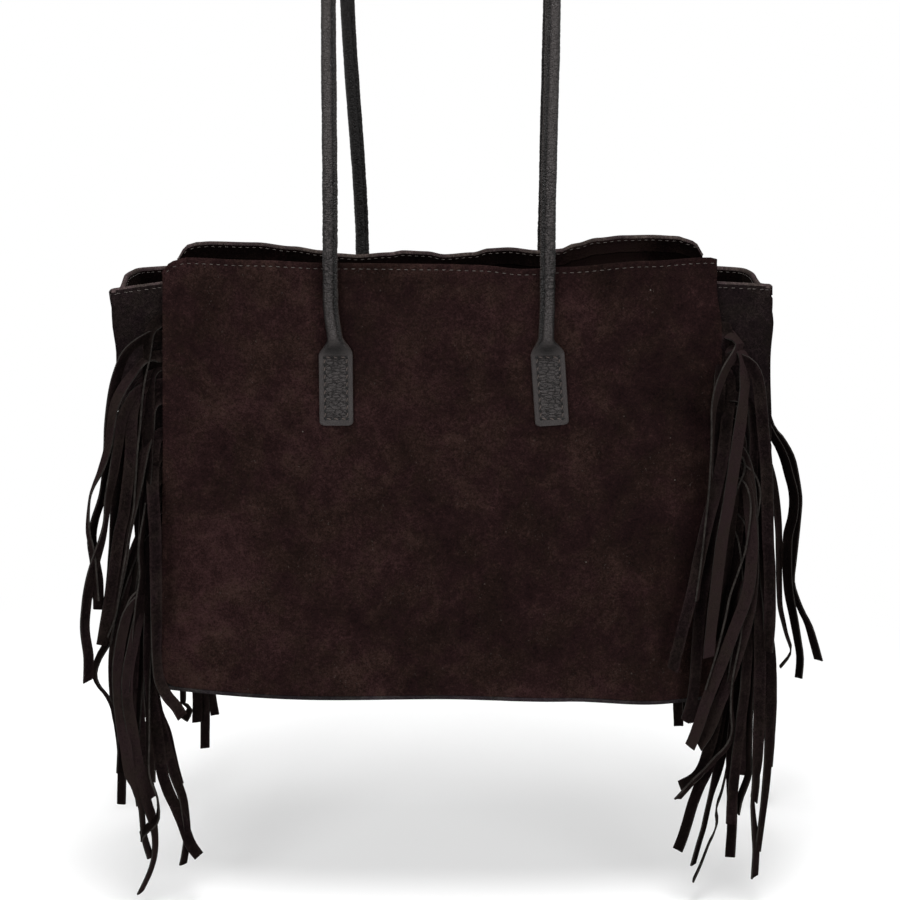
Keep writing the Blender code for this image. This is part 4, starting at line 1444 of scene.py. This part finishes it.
rightStraps = [
    (6, 14, [(712, 330, 9), (720, 326, 9), (727, 329, 9), (727.5, 340, 9), (724.5, 352, 9), (721, 370, 9),
        (719, 400, 9), (718.5, 440, 9), (718, 480, 9), (717, 520, 9), (711, 545, 9), (705, 580, 9),
        (701, 600, 9), (697.5, 640, 9), (696, 665, 9), (693, 695, 8), (689, 710, 8), (685.5, 721, 8)]),
    (18, 17, [(708, 321, 13), (720, 328, 13), (731, 336, 13), (739.5, 344, 13), (736, 353, 13),
        (728, 365, 13), (722, 378, 12), (717, 392, 10), (714, 408, 8), (713, 425, 6), (712, 450, 5),
        (711, 466, 4.5), (709.5, 487, 4), (706, 520, 4), (702, 560, 5), (697, 600, 6)]),
    (21, 22, [(712, 350, 13), (730, 348, 13), (740, 351, 13), (744.5, 360, 13.5), (745, 374, 13.5),
        (744, 392, 13.5), (741, 420, 13.5), (735, 460, 13.5), (728.5, 504, 13.5), (722, 540, 13.5),
        (715.3, 595, 13.5), (711.5, 625, 13), (708.5, 657, 13)]),
    (11, 13, [(712, 362, 13), (735, 359, 13), (749, 363, 13), (756, 373, 13), (759.5, 390, 13),
        (761.5, 410, 13), (763, 430, 13), (765.5, 455, 13), (767, 480, 13), (768, 535, 13),
        (769.5, 565, 13), (770, 595, 13), (770, 620, 12), (768.4, 651, 8)]),
    (13, 20, [(712, 372, 13), (724, 370, 13), (729, 380, 13), (729, 400, 13), (727, 420, 13),
        (723, 455, 13), (716, 490, 12), (707, 525, 12), (699, 560, 12), (694, 585, 12), (689, 606, 12),
        (682, 632, 12), (672.5, 670, 11)]),
    (10, 11, [(712, 454, 12), (732, 451, 12), (742, 455, 10), (746, 463, 6), (744, 474, 5), (738, 492, 8),
        (733, 520, 10), (728, 560, 10), (722, 600, 9), (716, 640, 8)]),
    (13, 16, [(712, 482, 10), (730, 478, 8), (740.5, 480, 5), (747, 487, 4), (750.5, 500, 4),
        (750.5, 514, 4), (748, 535, 4), (745, 552, 4.5), (738, 573, 5), (730.5, 595, 5), (726, 617, 5),
        (718, 651, 6), (706, 690, 6)]),
    (8, 11, [(712, 470, 9), (734, 464, 8), (748, 469, 5), (755, 478, 4), (758, 493, 4), (755.8, 512, 4),
        (752.7, 527, 4), (745.6, 568, 5), (739, 584, 6), (734.8, 606, 6), (730, 640, 7), (722, 690, 8)]),
    (15, 19, [(712, 458, 12), (734, 462, 12), (745, 478, 12), (750, 510, 12), (752, 550, 13),
        (749, 585, 13), (744, 604, 13), (738, 620, 13), (731, 638, 13), (723, 660, 13), (715, 680, 13),
        (706, 703, 12), (697, 730, 11), (690, 747, 11)]),
    (12, 14, [(712, 442, 12), (736, 447, 12), (746, 464, 12), (751, 500, 12), (753, 560, 12),
        (751, 600, 12), (747, 622, 12), (739, 650, 12), (729, 680, 12), (719, 705, 12), (709, 730, 11),
        (699, 746, 9)]),
    (10, 16, [(712, 520, 8), (731, 524, 8), (741, 543, 8), (745, 590, 7), (742, 630, 5), (739.7, 645, 5),
        (735, 667, 5), (732, 689, 5), (731.5, 710, 5), (733, 727, 6), (730.5, 740, 7), (725, 749.5, 12),
        (716.4, 758, 12), (706.6, 769, 12), (696, 779, 12), (683, 793, 12), (677.5, 799, 12)]),
    (8, 11, [(712, 500, 12), (729, 505, 12), (737, 526, 12), (738, 580, 12), (734, 630, 12),
        (727, 672, 13), (720, 700, 13), (714, 728, 13), (709, 748, 12), (703, 766, 10), (694, 778, 8),
        (679.5, 786, 8)]),
    (5, 8, [(712, 558, 12), (726, 563, 12), (733, 586, 12), (731, 640, 12), (724, 690, 13),
        (716, 740, 13), (708, 768, 12), (700, 785, 10), (693, 803, 9), (688, 820, 9), (683, 836, 9),
        (677.5, 850, 9)]),
    (3, 5, [(712, 570, 8), (728, 575, 8), (736, 598, 8), (735, 650, 10), (729, 710, 12), (721, 755, 12),
        (716.5, 775, 11), (711, 795, 8), (707, 812, 8), (703.5, 828, 8), (699, 843, 8), (693, 864.5, 8)]),
    (1, 3, [(712, 584, 8), (730, 589, 8), (738, 612, 8), (737, 670, 7), (731, 730, 5), (727, 765, 4),
        (722, 790, 3.5), (717.5, 803, 3.5), (716, 812, 4), (717, 822, 5), (714, 833, 5), (709, 843, 4),
        (700.5, 865, 4), (694, 879, 4)]),
    (6, 13, [(712, 530, 12), (737, 533, 12), (747, 551, 12), (750, 600, 12), (748, 645, 12),
        (746, 672, 12), (745, 690, 12), (741.5, 716, 12), (739, 738, 12), (737, 754, 12),
        (734.5, 776, 12), (732, 800, 12), (731, 824, 12)]),
    (4, 8, [(712, 548, 9), (731, 552, 9), (741, 573, 9), (742, 640, 11), (737, 700, 13), (732, 750, 13),
        (732, 820, 9), (730, 857, 9)]),
    (2, 5, [(712, 512, 8), (739, 515, 8), (751, 533, 8), (755, 590, 6), (753, 660, 4), (750, 715, 4),
        (749, 755, 4), (749, 772, 4), (745, 785, 4), (740, 798, 4), (737, 812, 4)]),
    (7, 11, [(712, 508, 11), (739, 511, 11), (749, 524, 11), (753, 545, 11), (757, 575, 11),
        (758, 600, 11), (759.5, 640, 13), (760, 672, 13), (759.5, 700, 13), (758.5, 730, 13),
        (757.5, 758, 12), (756, 776, 10), (753.5, 792, 6), (752.5, 805, 6), (754.5, 830, 8),
        (756, 850, 9), (754.5, 877, 9)]),
    (5, 9, [(712, 538, 10), (742, 541, 10), (759, 560, 10), (766, 600, 10), (768, 632, 11),
        (769.5, 650, 13), (770.5, 672, 13), (770, 694, 13), (769.5, 716, 12), (769, 738, 11),
        (768, 760, 10), (766, 785, 10), (763, 812, 9), (757.5, 852, 9)]),
    (6, 6, [(712, 394, 12), (737, 397, 12), (751, 406, 12), (754, 430, 12), (753, 470, 12),
        (751, 530, 11), (746, 590, 10)]),
    (7, 8, [(712, 422, 12), (731, 423, 12), (740, 438, 12), (741, 480, 12), (737, 540, 12),
        (731, 600, 11), (725, 650, 10)]),
    (3, 3, [(712, 410, 12), (742, 412, 12), (757, 424, 12), (761, 460, 12), (761, 540, 12),
        (759, 600, 11), (756, 640, 10)]),
]

# Of the back straps only a few ends are seen, under the base and beyond the right wing
backLeftStraps = [
    (4, 5, [(188, 410, 10), (177, 413, 10), (173, 432, 10), (176, 480, 10), (182, 560, 9), (183, 690, 4),
        (183.5, 702, 4), (190, 708.5, 4), (184.5, 720, 4)]),
    (8, 8, [(188, 425, 9), (178, 428, 9), (176, 450, 9), (182, 500, 9), (192, 600, 8), (197, 690, 7),
        (197, 722, 7)]),
    (10, 12, [(188, 470, 10), (178, 473, 10), (175, 500, 10), (186, 600, 10), (201, 680, 10),
        (205, 700, 10), (205, 748, 10)]),
    (6, 10, [(188, 442, 9), (178, 446, 9), (177, 480, 9), (190, 560, 9), (205, 640, 8), (211, 691, 7),
        (215, 715, 7)]),
    (14, 12, [(188, 556), (172, 558), (151, 570), (142, 610), (136, 650), (133, 690, 9), (141, 725, 9),
        (147, 750, 8), (148, 770, 7), (150, 785, 7), (152, 798, 7)]),
    (11, 10, [(188, 541), (176, 544), (159, 560), (152, 610), (150, 665), (153, 690, 9), (159, 713, 8),
        (167, 732, 7), (172, 752, 6), (177, 772, 5), (181, 786, 5)]),
    (16, 15, [(188, 526), (166, 529), (141, 560), (126, 620, 10), (118, 660, 9), (116, 690, 9),
        (119, 715, 9), (124, 748, 8), (129, 765, 7)]),
    (8, 7, [(188, 511), (172, 514), (155, 540), (150, 620), (148, 690, 11), (150, 715, 11),
        (151, 745, 10), (152.5, 765, 8), (154.5, 781, 4)]),
    (13, 12, [(188, 496), (162, 499), (137, 545), (122, 600, 10), (113, 655, 8), (114, 700, 7),
        (119, 730, 7), (122, 750, 8)]),
    (5, 5, [(188, 484), (176, 486), (161, 505), (155, 560), (156, 620), (157, 660, 5), (161, 682, 8),
        (168, 697, 9), (175, 706, 10), (180, 713, 10)]),
    (9, 9, [(188, 456), (174, 458), (157, 490), (150, 560), (145, 620, 11), (140, 680, 11),
        (140, 715, 12), (142, 740, 12), (145, 764, 10)]),
]

backRightStraps = [
    (9, 9, [(692, 328, 9), (706, 330, 9), (738, 352, 9), (760, 395, 8), (771, 425, 7), (780, 436, 6),
        (788, 449, 6), (793, 462, 6), (797.5, 488, 6), (798.5, 502, 6), (797, 520, 6), (795, 540, 6),
        (792.5, 562, 6), (791, 580, 6), (795, 595, 6), (801, 610, 6), (808, 624, 7), (813, 640, 8),
        (818.5, 660, 8)]),
    (6, 6, [(692, 345, 11), (704, 348, 11), (735, 370, 11), (758, 408, 10), (771, 433, 9), (779, 446, 9),
        (785, 460, 9), (789, 475, 9), (793, 490, 9), (794, 505, 9), (792, 520, 9), (788, 535, 9),
        (787, 560, 9), (788, 585, 9), (790, 600, 9), (794, 620, 8), (797.5, 640, 7), (800, 658, 6),
        (798.5, 678, 6)]),
    (12, 12, [(692, 400, 10), (715, 402, 10), (750, 425, 10), (770, 470, 10), (778, 520, 9),
        (779, 575, 8), (780, 605, 7), (783.5, 622, 6), (787, 636, 5), (791, 648, 4), (789, 656, 4),
        (780, 667, 4)]),
    (4, 6, [(692, 444, 9), (705, 447, 9), (706, 470, 9), (695, 540, 9), (682, 620, 9), (678, 690, 9),
        (678.5, 726, 9)]),
    (7, 8, [(692, 430, 8), (707, 433, 8), (709, 470, 8), (700, 540, 8), (688, 620, 8), (685, 690, 8),
        (685, 721, 8)]),
    (14, 12, [(692, 556), (706, 558), (731, 575), (750, 610), (757, 660, 9), (758, 700, 6), (757, 740, 6),
        (756, 780, 6), (754, 800, 6)]),
    (16, 15, [(692, 541), (715, 544), (745, 570), (764, 620), (771, 660, 9), (772, 700, 9), (770, 740, 9),
        (768, 765, 9)]),
    (11, 10, [(692, 526), (710, 529), (732, 560), (741, 620), (746, 680, 13), (746, 716, 13),
        (744, 745, 13), (742, 775, 12)]),
    (9, 8, [(692, 511), (706, 514), (723, 545), (733, 600), (732, 640), (723, 680, 13), (713, 705, 13),
        (707, 722, 12), (702, 735, 10)]),
    (13, 12, [(692, 496), (710, 499), (735, 530), (745, 590), (744, 640), (740, 690, 10), (737, 730, 10),
        (735, 750, 10)]),
    (5, 6, [(692, 481), (700, 484), (713, 520), (718, 580), (714, 640), (706, 680, 13), (700, 700, 13),
        (695, 722, 10)]),
    (8, 8, [(692, 466), (712, 468), (738, 500), (752, 560), (757, 620, 10), (760, 672, 8),
        (759, 700, 7)]),
]

# The back straps that the photo doesn't show: how far down each one leaves its seam, on the left
# and on the right, and between what limits the rest of its way falls, in pixels of the photo
unseen = {
    "seats": {-1: (300, 314, 328, 342, 356, 370, 384, 398), 1: (303, 315, 360, 372, 386, 415, 422)},
    "seamAside": 261,  # pixels from the middle
    "root": ((-9, 0), (5, -1)),  # outwards from the seam, and down from where it leaves it
    "fall": ((0, 12), (3, 40)),  # outwards from where it hangs, and down
    "middle": (0.4, 0.7),  # shares of its length at which it drifts out and back
    "aside": (6, 30),
    "length": (272, 292),
    "lowest": 686,
    "drift": (-5, 5),
    "middleWidth": (5, 12),
    "endWidth": (6, 12),
    "near": (1, 10),  # mm in front of the seam
    "end": (2, 14),
}


def smoothRoute(points, count, steps=12):
    # evenly spaced places on the smooth curve through the points
    fine = []
    extended = [points[0] * 2 - points[1]] + points + [points[-1] * 2 - points[-2]]
    for a, b, c, d in zip(extended, extended[1:], extended[2:], extended[3:]):
        for step in range(steps):
            t = step / steps
            fine.append(0.5 * (2 * b + (c - a) * t + (2 * a - 5 * b + 4 * c - d) * t ** 2
                               + (3 * b - a - 3 * c + d) * t ** 3))
    fine.append(points[-1])
    return evenly(fine, count)


def strapPath(side, face, near, end, pixels):
    # places along the strap, in metres, each with the width that is seen there, and 0 to 1
    # for how freely it turns
    shape = fringeShape
    usual = shape["usualWidth"]
    points = [Vector((across, down, seen[0] if seen else usual)) for across, down, *seen in pixels]
    start, finish = shape["forward"]
    path, clear, free = [], 0.0, 0.0
    for index, (across, down, seen) in enumerate(smoothRoute(points, shape["rows"])):
        share = index / shape["rows"]
        layer = (shape["firstLayer"] + mix(near, end, smooth(share))) * mm
        rough = atPixel((across, down), face * body["rimHalfDepth"])
        seamX, seamY = seamAt(side, rough.z, face)
        past = side * rough.x - seamX - shape["edgeMargin"]
        clear = max(clear, smooth(past / (shape["clearance"] + shape["clearanceGrowth"] * layer)),
                    smooth((share - start) / (finish - start)))
        free = max(free, smooth(past / shape["heldFlat"]))
        spot = atPixel((across, down), face * (seamY + shape["rootDepth"] + layer * clear))
        path.append((spot, seen * (spot - view["place"]).length / view["focalPixels"], free))
    return path


def strapFrames(path, tangents):
    # the direction across the strap at each place, before it turns
    across = Vector((1, 0, 0))
    frames = []
    for tangent in reversed(tangents):
        across = (across - tangent * across.dot(tangent)).normalized()
        frames.insert(0, across)
    for i, tangent in enumerate(tangents):
        # where the seam holds it, the strap lies flat against the panel
        flat = tangent.cross(Vector((0, 1, 0))).normalized()
        if flat.dot(frames[i]) < 0:
            flat = -flat
        frames[i] = flat.lerp(frames[i], path[i][2]).normalized()
    return frames


def addStrap(name, rng, side, face, near, end, pixels):
    shape = fringeShape
    rows, columns = shape["rows"], shape["columns"]
    path = strapPath(side, face, near, end, pixels)
    strap = cutSheet(name, columns, rows)
    way = 1 if rng.random() < 0.5 else -1
    # painted shade: the straps further back are painted darker
    rearmost, depthShadeStep, varied = shape["tone"]
    tone, wander = rearmost + depthShadeStep * near + varied * rng.random(), rng.uniform(0, 50)
    places = [spot for spot, _, _ in path]
    tangents = [(places[min(i + 1, rows)] - places[max(i - 1, 0)]).normalized() for i in range(rows + 1)]
    frames = strapFrames(path, tangents)
    turns = []
    for i in range(rows + 1):
        # widths were read level across hanging straps, and upright across level ones
        slant = max(abs(tangents[i].z), abs(tangents[i].x))
        seen = max(path[i][1] * slant - shape["thicknessSeen"], shape["thinnest"]) / shape["width"]
        seen = min(seen, 1.0)
        turns.append(way * math.acos(seen) * path[i][2])
    for _ in range(3):
        eased = [(a + 2 * b + c) / 4 for a, b, c in zip(turns, turns[1:], turns[2:])]
        turns = [turns[0]] + eased + [turns[-1]]
    slanted = rng.uniform(-shape["slantedEnd"], shape["slantedEnd"])
    perShare, perRow = shape["raggedRate"]

    def lay(column, row):
        i = rows - row
        share = 2 * column / columns - 1
        turned = Matrix.Rotation(turns[i], 3, tangents[i]) @ frames[i]
        normal = tangents[i].cross(turned)
        wave = noise.noise(Vector((wander, share * perShare, i * perRow)))
        half = shape["width"] / 2 * mix(1.0, shape["narrowing"], i / rows) + shape["raggedness"] * wave
        slant = slanted * half * share * smooth(1 - (rows - i) / shape["endRows"])
        cup = shape["curl"] * (1 - share * share) * math.sin(i * shape["curlRate"] + wander)
        return places[i] + turned * share * half + normal * cup + tangents[i] * slant

    borders = [abs(vert.co.x) for vert in strap.data.vertices]
    laySheet(strap, columns, rows, lay)
    addLooks(strap, {"tone": [tone] * len(borders), "border": borders})
    return strap


def hiddenStraps(side, rng):
    # back straps that hang behind the panel or the wing, where the photo doesn't show them
    straps = []
    seamPixel = view["axisPixel"][0] + side * unseen["seamAside"]
    for seat in unseen["seats"][side]:
        over = seamPixel + side * rng.uniform(*unseen["aside"])
        end = min(seat + rng.uniform(*unseen["length"]), unseen["lowest"])
        drift = rng.uniform(*unseen["drift"])
        pixels = [(seamPixel + side * out, seat + down) for out, down in unseen["root"]]
        pixels += [(over + side * out, seat + down) for out, down in unseen["fall"]]
        first, second = (mix(seat, end, share) for share in unseen["middle"])
        pixels += [(over + drift, first), (over - drift, second, rng.uniform(*unseen["middleWidth"])),
                   (over, end, rng.uniform(*unseen["endWidth"]))]
        straps.append((rng.uniform(*unseen["near"]), rng.uniform(*unseen["end"]), pixels))
    return straps


def addFringe(name, node, side, face, cuts, seed):
    shape = fringeShape
    rng = random.Random(seed)
    straps = [addStrap(f"{name}{index}", rng, side, face, *cut) for index, cut in enumerate(cuts)]
    band = cutSheet(name + "Band", 2, shape["bandRows"])
    lowest, highest = shape["bottom"] - shape["bandSpare"], shape["top"] + shape["bandSpare"]

    def layBand(column, row):
        z = mix(lowest, highest, row / shape["bandRows"])
        seamX, seamY = seamAt(side, z, face)
        return Vector((side * (seamX - shape["bandInset"] - column / 2 * shape["bandWidth"]),
                       face * (seamY + shape["rootDepth"]), z))

    laySheet(band, 2, shape["bandRows"], layBand)
    fringe = joinAll(name, straps + [band])
    fringe.data.materials.append(fringeSuede)
    fringe.data.materials.append(fringeEdge)
    applyModifier(fringe, "SOLIDIFY", thickness=shape["thickness"], offset=0, material_offset_rim=1)
    smoothShade(fringe)
    hang(fringe, [node])


chance = random.Random(7)
addFringe("frontLeftFringe", "front_left_fringe", -1, -1, leftStraps, 3)
addFringe("frontRightFringe", "front_right_fringe", 1, -1, rightStraps, 5)
addFringe("backLeftFringe", "back_left_fringe", -1, 1, backLeftStraps + hiddenStraps(-1, chance), 7)
addFringe("backRightFringe", "back_right_fringe", 1, 1, backRightStraps + hiddenStraps(1, chance), 8)
print("fringes hung")
